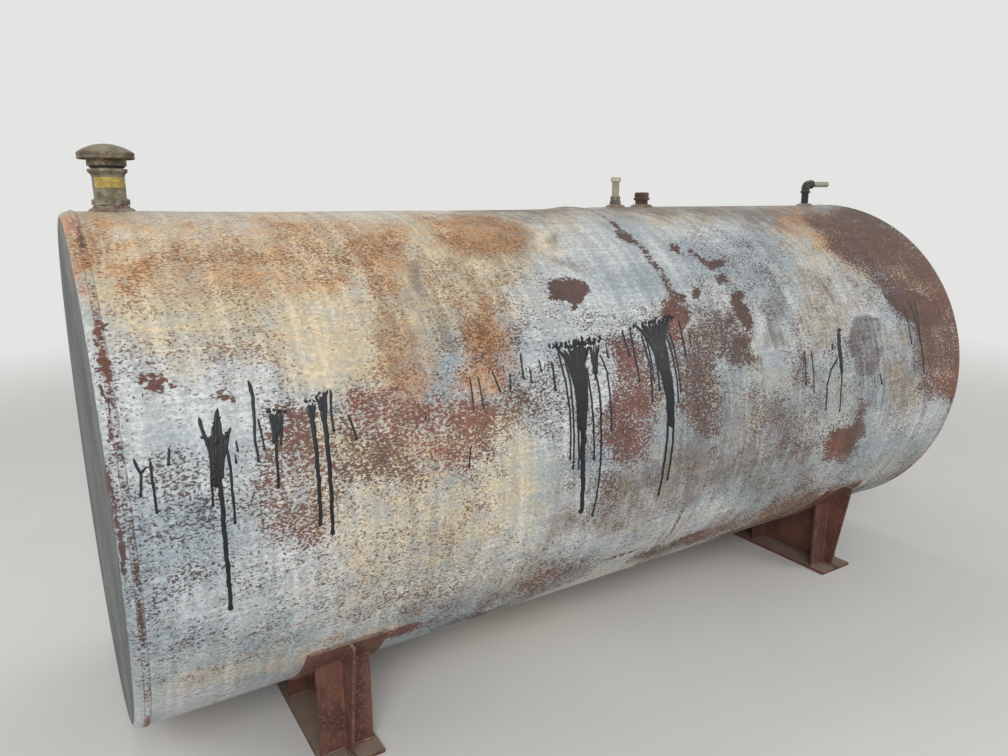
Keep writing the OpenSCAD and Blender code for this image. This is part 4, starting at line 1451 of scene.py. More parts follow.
@dataclass
class ShellWelds(Part):
    """Butt welds of the shell: three rings and the long seam of each course, each with its root.

    Dirt lies along a bead's toes, and its crown is rubbed to primer here and there.
    """

    cap: float = 14 * MM
    height: float = 2.4 * MM
    gap: float = 3 * MM
    rows_per_ripple: float = 3.5
    seams: tuple[tuple[str, str, float], ...] = (("near_long_weld", "near_shell_course", -62.0),
                                                 ("far_long_weld", "far_shell_course", -48.0))

    def make(self) -> None:
        """Makes the five beads in place of their CAD nodes."""
        half, root = self.gap / 2, self.surface.sizes.plate
        section = BeadSection(self.cap, self.height,
                              ((-half, 0.1 * MM), (-half, -root), (half, -root), (half, 0.1 * MM)))
        rng = np.random.default_rng(SEED + 1)
        step = section.pitch / self.rows_per_ripple
        around = round(2 * np.pi * self.surface.sizes.radius / step)
        for name in ("near_head_weld", "girth_weld", "far_head_weld"):
            turn = np.linspace(0, 2 * np.pi, around, endpoint=False)
            self.one(name, section, np.full_like(turn, middle_x(name)), turn, True, rng)
        for name, course, degrees in self.seams:
            low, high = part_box(course)
            x = np.linspace(low.x, high.x, round((high.x - low.x) / step))
            self.one(name, section, x, np.full_like(x, math.radians(degrees)), False, rng)

    def one(self, name: str, section: BeadSection, x: Array, turn: Array, closed: bool,
            rng: Rng) -> None:
        """Makes one bead along a line of the shell.

        Args:
            name: its CAD node.
            section: its section.
            x: place along the tank of each point of the line.
            turn: turn of each.
            closed: the line is a ring.
            rng: source of the wavering.
        """
        path, out = self.surface.point(x, turn), self.surface.out(turn)
        made = bead(section, path, out, closed, rng, 0.0 if closed else 9 * MM)
        crown, under = section.crown_points, len(section.under)
        outward = np.repeat(out, crown + under, axis=0)
        across = np.concatenate([np.abs(np.linspace(-1, 1, crown)), np.ones(under)])
        rub = wander(np.arange(len(x)) * section.pitch / self.rows_per_ripple, 0.4, rng)
        toe = np.tile(across, len(x))
        worn = np.repeat(smooth(0.0, 0.5, rub), len(across)) * (1 - toe)
        if not closed:
            outward = np.vstack([outward, out[[0, -1]]])
            toe, worn = np.append(toe, [1, 1]), np.append(worn, [0, 0])
        found = self.marks.read(made.points, outward)
        found[Mark.GRIME_AND_SHADE] = np.maximum(found[Mark.GRIME_AND_SHADE], 1.1 * toe ** 2)
        found[Mark.PRIMER] = np.maximum(found[Mark.PRIMER], 0.45 + 0.7 * worn)
        Piece(name + "_bead", [made], "weathered_aluminium_paint", "weld_paint", (name,), sharp_degrees=60,
              marks=found).make(self.palette)


# Width at the start, width at the end and line of each tar run in the photograph's pixels. A line is the x
# and y of its points in turn.
TAR_RUNS: tuple[tuple[float, float, tuple[float, ...]], ...] = (
    (3, 2.5, (133, 458, 137, 467, 141, 475, 141, 498)), (2.5, 2.5, (147, 466, 141, 474)),
    (3, 2.5, (150, 460, 153, 485, 157.5, 515)), (2.8, 2.5, (169.5, 447, 168, 467)),
    (5, 4, (217, 470, 221, 490, 225, 540, 231, 611)), (3, 2.4, (211, 470, 212, 485, 213, 508)),
    (3.2, 2.4, (226.5, 446, 230, 464, 232, 486, 235.5, 525)), (4, 3.5, (199, 417, 203, 433, 209, 447)),
    (4.6, 5, (217, 408, 216.5, 422, 216, 446)), (3.5, 3, (231, 427, 226, 438)), (2, 2, (236, 440, 238, 453)),
    (2, 2, (235, 454, 236.5, 464)), (4, 2.4, (248, 380, 253, 398, 255, 440, 259, 463)),
    (2.5, 2, (258, 418, 265, 451)), (3.4, 2.8, (275, 430, 277, 460, 279, 489)),
    (3, 2.5, (282, 418, 281, 446)), (5, 3.5, (309, 405, 314, 430, 318, 470, 321, 527)),
    (5.5, 3.5, (320, 398, 325, 424, 329, 460, 333, 536)), (3.5, 3, (315, 395, 322, 412)),
    (3, 2.5, (330.5, 389, 331, 410, 334, 433)), (2.5, 2.5, (348, 414, 354, 430, 357, 441)),
    (2.2, 2, (492, 370, 501, 393)), (2.2, 2, (510, 372, 511, 390)), (2.4, 2.2, (520.5, 352, 524, 380)),
    (2, 2, (530, 367, 532, 384)), (2, 2, (539, 359, 542, 373)), (1.8, 1.6, (470, 376, 474, 412)),
    (1.8, 1.6, (478, 376, 484, 410)), (1.8, 1.6, (471, 445, 469, 469)), (1.8, 1.6, (425, 412, 426, 421)),
    (8.5, 4.5, (582.5, 400, 583, 420, 582.5, 460, 581, 514)), (3, 2, (577, 405, 578, 425, 578.5, 470)),
    (2.6, 2, (558, 352, 566, 384, 570, 412, 570, 461)), (2.6, 2, (564, 357, 570, 380, 573, 412, 573, 470)),
    (2.6, 2.2, (586, 366, 590, 388, 593.5, 424, 594, 461)),
    (2.8, 2.2, (595, 370, 600, 396, 601, 428, 599, 480, 592, 517)),
    (2.4, 2, (600, 354, 607, 372, 610, 396, 611.5, 432)), (2.5, 2, (606, 349, 609, 359)),
    (3, 2.5, (552, 361, 554, 376, 556, 392)), (2.5, 2.2, (622, 330, 626, 345, 630, 357)),
    (2.5, 2.2, (630, 330, 635, 357, 640, 383)), (3.4, 2.6, (668, 410, 667, 440, 664, 464, 658, 496)),
    (3.2, 2.4, (673, 405, 673.5, 428, 670, 464, 667, 481)),
    (2.6, 2.2, (641, 334, 645, 348, 650, 366, 652.5, 403)), (2.4, 2, (645, 336, 650, 354, 654, 382)),
    (2.6, 2.2, (655, 358, 658, 370, 659.5, 392)), (2.6, 2, (666, 334, 670, 346, 676, 372, 678.5, 404)),
    (2.6, 2, (669, 332, 675, 352, 681, 393)), (2.5, 2.2, (678.5, 320, 683, 340, 686, 357)),
    (2, 1.8, (689, 330, 691, 348)), (3, 3.6, (838, 327, 839, 350, 842, 373.5)),
    (2.2, 1.8, (842, 368, 841, 390, 839.5, 412)), (2.6, 1.6, (838, 357, 831, 370, 827, 385, 825.6, 411)),
    (2.5, 2, (833, 342, 832, 350)), (2, 1.8, (880, 373.5, 882, 385)), (1.8, 1.5, (804, 350, 806, 386)),
    (1.8, 1.5, (811, 350, 814, 393)), (2, 1.6, (904, 308, 912, 345)), (2, 1.6, (908, 300, 924, 375)),
    (2, 1.6, (914, 300, 920, 340)),
)


@dataclass(frozen=True)
class Curtain:
    """Many tar runs side by side that draw together as they fall.

    They lie between two lines in the photograph's pixels. Thin spikes and drops stand over its upper edge,
    where the tar splashed.
    """

    left: tuple[float, ...]
    right: tuple[float, ...]
    strands: int
    uneven: float
    width: float
    spikes: int = 0


TAR_CURTAINS = (
    Curtain((205, 438, 208.5, 450, 210.5, 464, 212, 481),
            (229, 433, 226.5, 448, 223, 464, 222.5, 481), 11, 5, 3.4, 12),
    Curtain((212, 424, 212, 440, 214, 474), (219.5, 420, 222, 438, 221, 474), 6, 5, 3.2, 4),
    Curtain((268, 413, 272, 424, 274, 440), (284, 413, 281, 424, 277.5, 440), 8, 4, 2.6, 12),
    Curtain((306, 403, 309, 412, 312, 426), (316, 402, 314.5, 412, 313.5, 426), 5, 4, 2.4, 6),
    Curtain((316, 396, 320, 405, 324, 422), (327, 394, 327, 405, 326, 422), 6, 4, 2.4, 8),
    Curtain((554, 348, 567, 361, 574.5, 386, 578, 416),
            (589, 343, 584, 364, 587, 386, 587, 416), 17, 9, 3.4, 40),
    Curtain((561, 350, 570, 364, 576, 388, 579, 424),
            (585, 346, 582, 366, 586, 388, 586, 424), 11, 7, 3.4, 14),
    Curtain((588, 344, 591, 356, 594, 374), (600, 341, 598, 355, 597, 374), 5, 6, 2.6, 16),
    Curtain((634, 327, 649, 341, 659, 366, 666.5, 396, 668, 418),
            (670, 319, 665, 341, 669, 366, 673.5, 394, 673, 416), 17, 7, 3.4, 40),
    Curtain((640, 330, 652, 345, 661, 370, 667, 400, 669, 420),
            (669, 324, 664, 344, 669, 368, 673, 398, 672, 420), 12, 6, 3.4, 12),
    Curtain((837, 332, 837.5, 345, 840, 370), (840, 331, 841, 345, 843, 370), 3, 3, 2.2, 4),
)


@dataclass
class TarRuns(Part):
    """Tar that splashed on the shell and ran down it before it set.

    A run is half an ellipse carried down the shell, pointed where it starts and fuller in the round bead at
    its lower end. A splash is a curtain of such runs.
    """

    step: float = 4 * MM
    tallest: float = 2.4 * MM
    sunk: float = 0.5 * MM
    arch: int = 7

    def run(self, start_px: float, end_px: float, line: Sequence[float] | Array,
            rng: Rng) -> Surface:
        """One run.

        Args:
            start_px: width at its start in the photograph's pixels.
            end_px: width at its end.
            line: the x and y of its points in turn.
            rng: source of the wavering.

        Returns:
            The closed surface.
        """
        px, py = np.array(line, float).reshape(-1, 2).T
        x, turn, scale = self.marks.view.on_shell(px, py, self.surface.sizes)
        radius = self.surface.sizes.radius
        length = np.concatenate([[0], np.cumsum(np.hypot(np.diff(x), radius * np.diff(turn)))])
        s = np.linspace(0, length[-1], max(8, round(length[-1] / self.step)))
        width = np.interp(s, [0, length[-1]], [start_px, end_px]) * np.interp(s, length, scale)
        x = np.interp(s, length, x) + 0.12 * width * wander(s, 60 * MM, rng)
        turn = np.interp(s, length, turn)
        end = width[-1]
        to_end = s[-1] - s
        drop = np.exp(-((to_end - 0.8 * end) / (0.8 * end)) ** 2)
        tip = np.sqrt(np.clip(1 - (1 - np.clip(to_end / (0.9 * end), 0, 1)) ** 2, 0.0025, 1))
        head = np.sqrt(np.clip(1 - (1 - np.clip(s / (2.0 * width[0]), 0, 1)) ** 2, 0.01, 1))
        round_off = tip * head
        width = width * (1 + 0.1 * wander(s, 35 * MM, rng) + 0.45 * drop) * round_off
        height = np.minimum(0.3 * width, self.tallest) * (0.75 + 0.5 * drop)
        angle = np.linspace(np.pi, 0, self.arch)[None]
        across = np.hstack([width[:, None] / 2 * np.cos(angle), 0.35 * width[:, None] * np.array([[1, -1]])])
        lift = np.hstack([height[:, None] * np.sin(angle), np.full((len(s), 2), -self.sunk)])
        return sweep(self.surface.point(x, turn), self.surface.out(turn), across, lift, False)

    def strands(self, curtain: Curtain, rng: Rng) -> list[Surface]:
        """The runs of a curtain: each keeps to the same share of the way from its left to its right line.

        Args:
            curtain: the curtain.
            rng: source of the shares, lengths and widths.

        Returns:
            The closed surfaces.
        """
        left, right = (np.array(edge).reshape(-1, 2) for edge in (curtain.left, curtain.right))
        made = []
        for share in (np.arange(curtain.strands) + rng.uniform(0.2, 0.8, curtain.strands)) / curtain.strands:
            line = left + (right - left) * share
            line[0, 1] += rng.uniform(-0.4, 0.5) * curtain.uneven
            line[-1, 1] += rng.uniform(-1.5, 1.5) * curtain.uneven
            width = curtain.width * rng.uniform(0.75, 1.2)
            made.append(self.run(width, 0.85 * width, line, rng))
        for _ in range(curtain.spikes):
            foot = left[0] + (right[0] - left[0]) * rng.uniform(-0.08, 1.08)
            foot = foot + rng.normal(0, 0.18 * curtain.uneven, 2)
            tip = foot + (rng.normal(0, 1.5), -rng.uniform(1.5, 0.5 * curtain.uneven + 2))
            width = rng.uniform(1.2, 3.0)
            made.append(self.run(width, width, np.stack([tip, foot]), rng))
        return made

    def make(self) -> None:
        """Makes the tar as one piece."""
        rng = np.random.default_rng(SEED + 2)
        made = [self.run(*row, rng) for row in TAR_RUNS]
        for curtain in TAR_CURTAINS:
            made += self.strands(curtain, rng)
        Piece("tar_runs", made, "set_roofing_tar", "shell_paint", sharp_degrees=70).make(self.palette)


def hexagon(flats: float, low: float, high: float) -> Shape:
    """Cuts a turned shape to a hexagon between two heights.

    The radius is at most half the flats over the cosine of the turn from the nearest flat's middle.

    Args:
        flats: width across the flats.
        low: lower height.
        high: upper height.

    Returns:
        The shape.
    """
    def shape(radius: Array, height: Array, turn: Array) -> Array:
        """Radius with the hexagon's flats cut."""
        limit = flats / 2 / np.cos(turn % (np.pi / 3) - np.pi / 6)
        within = (height > low - 1e-6) & (height < high + 1e-6)
        return np.where(within[None], np.minimum(radius, limit), radius)
    return shape


@dataclass
class TopFitting(Part):
    """A fitting on the top line of the tank, with its weld-in bung.

    The outlines that are turned into its pieces are in millimetres: radius, height over the shell and
    rounding of each corner.
    """

    x: float

    def axis(self, height: float = 0.0) -> Axis:
        """Upright axis whose heights count from this height over the shell."""
        top = self.surface.sizes.axis_z + self.surface.sizes.radius
        return straight_axis((self.x, 0, top + height * MM), (0, 0, 1), (1, 0, 0))

    def bung(self, name: str, outer: float, bore: float, height: float, depth: float = 16.0,
             leg: tuple[float, float] = (10.5, 7.0)) -> None:
        """Makes a bung with the fillet weld around its foot, which follows the curve of the shell.

        Args:
            name: its CAD node.
            outer: outer radius.
            bore: bore radius.
            height: height over the shell.
            depth: length below the top of the shell.
            leg: width and height of the fillet.
        """
        ring = rounded([(bore, -depth, 0.8), (outer, -depth, 0.8), (outer, height, 1.2), (bore, height, 0.9)])
        body = turned(self.axis(), ring * MM, 72)
        sizes = self.surface.sizes
        middle = outer + leg[0] / 2
        turn = np.linspace(0, 2 * np.pi, round(2 * np.pi * middle / 1.1), endpoint=False)
        away = np.stack([np.cos(turn), np.sin(turn), 0 * turn], -1)
        x, y = self.x + middle * MM * np.cos(turn), middle * MM * np.sin(turn)
        path = np.stack([x, y, sizes.axis_z + np.sqrt(sizes.radius ** 2 - y ** 2) + leg[1] / 2 * MM], -1)
        slope = unit(away * leg[1] + np.array([0, 0, leg[0]]))
        wide, corner = math.hypot(*leg), leg[0] * leg[1] / math.hypot(*leg)
        section = BeadSection(wide * MM, 1.3 * MM, ((0.0, -corner * MM),), 5.5 * MM, 0.3)
        weld = bead(section, path, slope, True, np.random.default_rng(SEED + int(outer)))
        Piece(name + "_welded", [body, weld], "worn_painted_boss", "bung_steel", (name,),
              sharp_degrees=50).make(self.palette)


@dataclass
class EmergencyVent(TopFitting):
    """Mushroom vent: hexagon, neck with a casting seam, flare, seat flange with its lip, and a hooded lid."""

    bore: float = 26.0
    hex_flats: float = 70.0
    neck: float = 34.0
    seat: float = 42.0
    guide_bore: float = 28.3
    pallet: float = 41.5
    hood: float = 60.0
    dome_top: float = 149.8

    def make(self) -> None:
        """Makes the bung, the body and the lid."""
        self.bung("vent_bung", 39.3, 30.3, 12.0)
        self.body()
        self.lid()

    def body(self) -> None:
        """Makes the cast body with its wrench hexagon and a low ridge where the mould parted."""
        corner = self.hex_flats / 2 / math.cos(math.pi / 6)
        flat = self.hex_flats / 2 - 0.6
        chamfer = [(flat + (corner - flat) * k / 6, 12 + 3.0 * k / 6, 0) for k in range(7)]
        above = [(corner + (flat - corner) * k / 6, 25 + 3.0 * k / 6, 0) for k in range(7)]
        profile = rounded([
            (self.bore, 0, 0), (30, 0, 0.8), (30, 12, 0), *chamfer, *above, (self.neck, 28, 1.5),
            (self.neck, 54, 0), (self.neck, 80, 5), (self.seat, 88, 1.2), (self.seat, 94, 1.0), (33, 94, 0.4),
            (33, 96.5, 0.7), (self.guide_bore, 96.5, 0.5), (self.guide_bore, 62, 0.3), (self.bore, 62, 0.3)])
        cut = hexagon(self.hex_flats * MM, 12 * MM, 28 * MM)

        def shape(radius: Array, height: Array, turn: Array) -> Array:
            """Hexagon below, and the mould's parting ridge on the neck at both sides."""
            ridge = np.exp(-(np.abs(np.sin(turn)) * 34 / 1.4) ** 2)
            on_neck = (height > 30 * MM) & (height < 80 * MM) & (radius[0] > 33 * MM)
            return cut(radius, height, turn) + 0.45 * MM * ridge * on_neck
        Piece("vent_body_casting", [turned(self.axis(), profile * MM, 144, shape)],
              "weathered_cast_aluminium", "vent_casting", ("vent_body",), sharp_degrees=28).make(self.palette)

    def lid(self) -> None:
        """Makes the pallet, the hood with a drip groove under it and the dome, an arc of a 100 mm circle."""
        dome_radius = 100.0
        reach = np.linspace(1.5, 54, 22)
        dome = [(r, self.dome_top - dome_radius + math.sqrt(dome_radius ** 2 - r * r), 0) for r in reach]
        rim, groove = self.hood, self.hood - 0.7
        profile = rounded([
            (0, self.dome_top, 0), *dome, (57.6, 131.6, 1.5), (rim, 129.3, 1.5), (rim, 124.5, 0.6),
            (groove, 123.6, 0.4), (groove, 121.6, 0.4), (rim, 120.6, 0.6), (rim, 115.8, 2.2),
            (56, 115.8, 0.8), (56, 121.8, 1.5), (43.5, 121.8, 1.5), (43.5, 115.8, 0.5),
            (self.pallet, 115.8, 0.5), (self.pallet, 100.8, 0.8), (4.1, 100.8, 0.3), (4.1, 111.8, 0.3),
            (0, 111.8, 0)], ring=False)
        Piece("vent_lid_casting", [turned(self.axis(), profile * MM, 144)], "weathered_cast_iron",
              "lid_casting", ("vent_lid",), Body.LID, 40).make(self.palette)


@dataclass
class LevelGauge(TopFitting):
    """Slim level gauge: hexagon, grooved collar, sight tube and a fluted cap."""

    flutes: int = 24

    def make(self) -> None:
        """Makes the bung, the body, the sight tube and the cap."""
        self.bung("gauge_bung", 23.0, 14.3, 8.0)
        flats, corner = 34.0, 17.0 / math.cos(math.pi / 6)
        low = [(16.7 + (corner - 16.7) * k / 4, 8 + 1.4 * k / 4, 0) for k in range(5)]
        high = [(corner + (16.3 - corner) * k / 4, 18.4 + 1.6 * k / 4, 0) for k in range(5)]
        groove = [(16.5, 24.5, 0.4), (15.4, 25.4, 0.4), (15.4, 28.6, 0.4), (16.5, 29.5, 0.4)]
        profile = rounded([
            (1.8, 0, 0), (14, 0, 0.8), (14, 8, 0), *low, *high, (14.6, 20, 0.4), (14.6, 21.5, 0.4),
            (16.5, 21.5, 0.6), *groove, (16.5, 34, 0.9), (9.5, 34, 0.4), (9.5, 27, 0.4), (1.8, 27, 0.3)])
        cut = hexagon(flats * MM, 8 * MM, 20 * MM)
        Piece("gauge_body_casting", [turned(self.axis(), profile * MM, 96, cut)], "dull_die_casting",
              "gauge_metal", ("gauge_body",), sharp_degrees=28).make(self.palette)
        tube = rounded([(9.5, 34, 0.3), (12, 34, 0.4), (12, 82, 0.4), (9.5, 82, 0.3)])
        Piece("gauge_sight_tube_moulding", [turned(self.axis(), tube * MM, 72)], "sun_clouded_plastic",
              "sight_plastic", ("gauge_sight_tube",)).make(self.palette)
        cap = rounded([(0, 82, 0), (16.2, 82, 0.8), (17, 83.5, 0.6), (17, 93, 2.0), (14.5, 96, 2.0),
                       (6, 96, 0.5), (5, 95.4, 0.5), (0, 95.4, 0)], ring=False)

        def fluted(radius: Array, height: Array, turn: Array) -> Array:
            """Radius less 0.45 mm in each flute of the grip."""
            grip = smooth(15.8 * MM, 16.6 * MM, radius) * smooth(83 * MM, 84.5 * MM, height)
            return radius - 0.45 * MM * grip * np.clip(np.cos(self.flutes * turn), 0, 1) ** 2
        Piece("gauge_cap_moulding", [turned(self.axis(), cap * MM, 192, fluted)], "chalky_plastic",
              "gauge_cap_plastic", ("gauge_cap",), sharp_degrees=50).make(self.palette)


@dataclass
class FillPipe(TopFitting):
    """Short pipe under a malleable-iron cap with a rolled band at its mouth and a rounded crown."""

    def make(self) -> None:
        """Makes the bung, the pipe and the cap."""
        self.bung("fill_bung", 28.8, 20.1, 8.0)
        pipe = rounded([(17.6, -4, 0.4), (19.8, -4, 0.4), (19.8, 8, 0), (21.1, 8, 0.5), (21.1, 38, 0.6),
                        (17.6, 38, 0.6)])
        cap = rounded([(0, 48, 0), (18, 48, 2), (23.4, 46.6, 3), (23.8, 43, 1), (23.8, 29.4, 1.2),
                       (26.2, 29, 1), (27, 28.2, 1), (27, 22.8, 1), (26.2, 22, 0.8), (21.4, 22, 0.4),
                       (21.4, 38.3, 0.4), (0, 38.3, 0)], ring=False)

        def ribbed(radius: Array, height: Array, turn: Array) -> Array:
            """Radius plus four cast lugs on the cap's side."""
            lug = np.clip(1 - np.abs(np.sin(2 * turn)) * 23.8 / 5.5, 0, 1)
            side = smooth(22.6 * MM, 23.6 * MM, radius) * smooth(46 * MM, 43 * MM, height)
            room = np.maximum(24.5 * MM - radius, 0)
            return radius + np.minimum(0.7 * MM * smooth(0, 0.5, lug) * side, room)
        Piece("fill_pipe_nipple", [turned(self.axis(), pipe * MM, 96)], "rusted_malleable_iron", "rusty_pipe",
              ("fill_pipe",)).make(self.palette)
        Piece("fill_cap_casting", [turned(self.axis(), cap * MM, 160, ribbed)], "rusted_malleable_iron",
              "rusty_pipe", ("fill_cap",), sharp_degrees=45).make(self.palette)


@dataclass
class DrawPipe(TopFitting):
    """Riser, banded elbow and a level nipple whose open end shows its thread."""

    elbow_radius: float = 15.35
    bend: float = 16.0
    socket: float = 18.0
    bore: float = 7.75
    thread_pitch: float = 1.81
    thread_depth: float = 0.55

    def make(self) -> None:
        """Makes the bung, the riser, the elbow and the nipple."""
        self.bung("draw_bung", 21.05, 12.35, 8.0)
        riser = rounded([(10.45, -4, 0.3), (12.05, -4, 0.4), (12.05, 8, 0), (13.35, 8, 0.4), (13.35, 48, 0.4),
                         (12.05, 48, 0), (12.05, 60, 0.3), (10.45, 60, 0.3)])
        Piece("draw_riser_pipe", [turned(self.axis(), riser * MM, 72)], "dark_iron_pipe", "dark_pipe",
              ("draw_riser",)).make(self.palette)
        self.elbow()
        self.nipple()

    def elbow(self) -> None:
        """Makes the elbow: an outline turned about an axis that bends a quarter circle."""
        arc = self.bend * math.pi / 2
        end = 2 * self.socket + arc
        low, high = 18.35, 16.85
        inside = [(self.bore, self.socket + arc * k / 12, 0) for k in range(12, -1, -1)]
        outside = [(self.elbow_radius, self.socket + arc * k / 12, 0) for k in range(13)]
        profile = rounded([
            (12.35, 0, 0.4), (low, 0, 1.2), (low, 8, 1.2), (self.elbow_radius, 8.6, 0.8), *outside,
            (self.elbow_radius, end - 8.6, 0.8), (high, end - 8, 1.2), (high, end, 1.2), (9.85, end, 0.4),
            (9.85, end - 12.3, 0.3), (self.bore, end - 12.3, 0.3), *inside, (self.bore, 12.3, 0.3),
            (12.35, 12.3, 0.3)])
        axis = bent_axis(self.axis(48)(np.zeros(1))[0][0], self.socket * MM, self.bend * MM)
        Piece("draw_elbow_casting", [turned(axis, profile * MM, 72)], "dark_iron_pipe", "dark_pipe",
              ("draw_elbow",), sharp_degrees=40).make(self.palette)

    def nipple(self) -> None:
        """Makes the level pipe. On its last 16 mm the radius falls by a helical tooth, one pitch a turn."""
        low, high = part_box("draw_nipple")
        start, end = low.x / MM, high.x / MM
        shoulder = start + 12
        rows = np.arange(end - 16, end - 0.4, self.thread_pitch / 6)
        thread = [(10.65, float(x), 0) for x in rows]
        profile = rounded([(self.bore, start, 0.3), (9.55, start, 0.3), (9.55, shoulder, 0),
                           (10.65, shoulder, 0.3), *thread, (10.1, end, 0.3), (self.bore, end, 0.4)])

        def threaded(radius: Array, height: Array, turn: Array) -> Array:
            """Radius less the thread's depth."""
            phase = (height / MM - rows[0]) / self.thread_pitch + turn / (2 * np.pi)
            tooth = np.abs(2 * (phase % 1) - 1)
            on = (height > rows[0] * MM - 1e-6) & (radius[0] > 10.2 * MM) & (height < end * MM - 0.2 * MM)
            return radius - self.thread_depth * MM * tooth * on
        axis = straight_axis((0, 0, (low.z + high.z) / 2), (1, 0, 0), (0, 0, 1))
        Piece("draw_nipple_pipe", [turned(axis, profile * MM, 72, threaded)], "grey_galvanised_pipe",
              "galvanised_pipe", ("draw_nipple",), sharp_degrees=25).make(self.palette)


@dataclass
class Saddle(Part):
    """Fillet welds of a saddle: wear plate to shell, web to wear plate and base, ribs to web and base.

    The plates themselves are the CAD nodes. The wrap is in degrees to either side of the bottom.
    """

    side: str
    leg: float = 6 * MM
    wrap: float = 54.0
    step: float = 2.8 * MM
    wear_plate: float = 6.3 * MM
    half_rib: float = 4 * MM
    rib_foot: float = 62 * MM
    middle_rib: float = 165 * MM
    web_cut: float = 26 * MM

    def line(self, start: Sequence[float], end: Sequence[float],
             out: Sequence[float]) -> tuple[Array, Array]:
        """Line of a straight bead.

        Args:
            start: its start.
            end: its end.
            out: the outward direction.

        Returns:
            Its points and the outward direction at each.
        """
        a, b = np.array(start, float), np.array(end, float)
        t = np.linspace(0, 1, max(4, round(np.linalg.norm(b - a) / self.step)))[:, None]
        return a + (b - a) * t, np.broadcast_to(unit(np.array(out, float)), (len(t), 3))

    def arc(self, x: float, radius: float, degrees: float, lean: int) -> tuple[Array, Array]:
        """Line of a bead around the underside of the shell.

        Args:
            x: place along the tank.
            radius: distance from the tank's axis.
            degrees: how far it goes to either side of the bottom.
            lean: 1 or -1, the side along the tank to which it faces.

        Returns:
            Its points and the outward direction at each.
        """
        points = round(2 * math.radians(degrees) * radius / self.step)
        radial = self.surface.out(np.radians(np.linspace(180 - degrees, 180 + degrees, points)))
        path = radius * radial + np.array([x, 0, self.surface.sizes.axis_z])
        return path, unit(radial + np.array([lean, 0, 0]))

    def make(self) -> None:
        """Makes the beads of one saddle as one piece."""
        plate, web, base, ribs = (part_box(f"{self.side}_saddle_{part}")
                                  for part in ("wear_plate", "web", "base", "ribs"))
        radius, floor = self.surface.sizes.radius, base[1].z
        rng = np.random.default_rng(SEED + 5)
        wear_out = radius + self.wear_plate
        end_gap = 3 * MM
        foot = web[1].y - self.web_cut
        runs = []
        for lean, edge, face in ((-1, plate[0].x, web[0].x), (1, plate[1].x, web[1].x)):
            runs.append(self.arc(edge, radius + 0.2 * MM, self.wrap, lean))
            runs.append(self.arc(face, wear_out, self.wrap - 1.5, lean))
            runs.append(self.line((face, -foot, floor), (face, foot, floor), (lean, 0, 1)))
            for y in (ribs[0].y + self.half_rib, -self.middle_rib, self.middle_rib,
                      ribs[1].y - self.half_rib):
                top = self.surface.sizes.axis_z - math.sqrt(wear_out ** 2 - y * y)
                for across in (-1, 1):
                    wall, outer = y + across * self.half_rib, face + lean * self.rib_foot
                    runs.append(self.line((face, wall, floor + end_gap), (face, wall, top - end_gap),
                                          (lean, across, 0)))
                    runs.append(self.line((face, wall, floor), (outer, wall, floor), (0, across, 1)))
        section = BeadSection(self.leg * 1.3, 0.9 * MM, ((0.0, -self.leg * 0.55),), 8 * MM, 0.3, 5)
        made = [bead(section, path + out * self.leg * 0.42, out, False, rng, end_gap) for path, out in runs]
        Piece(f"{self.side}_saddle_fillets", made, "primed_structural_plate", "saddle_steel",
              sharp_degrees=60).make(self.palette)


# CAD nodes that keep their own shape, and the finish that each one gets
KEPT_NODES = {
    "vent_guide": "browned_brass", "vent_label": "faded_yellow_vinyl", "vent_seal": "nitrile_rubber",
    "vent_stem": "dull_zinc_plate", "vent_stop_nut": "dull_zinc_plate",
    "gauge_indicator": "faded_red_plastic",
    **{f"{side}_saddle_{part}": "primed_structural_plate" for side in ("near", "far")
       for part in ("wear_plate", "web", "base", "ribs")},
}


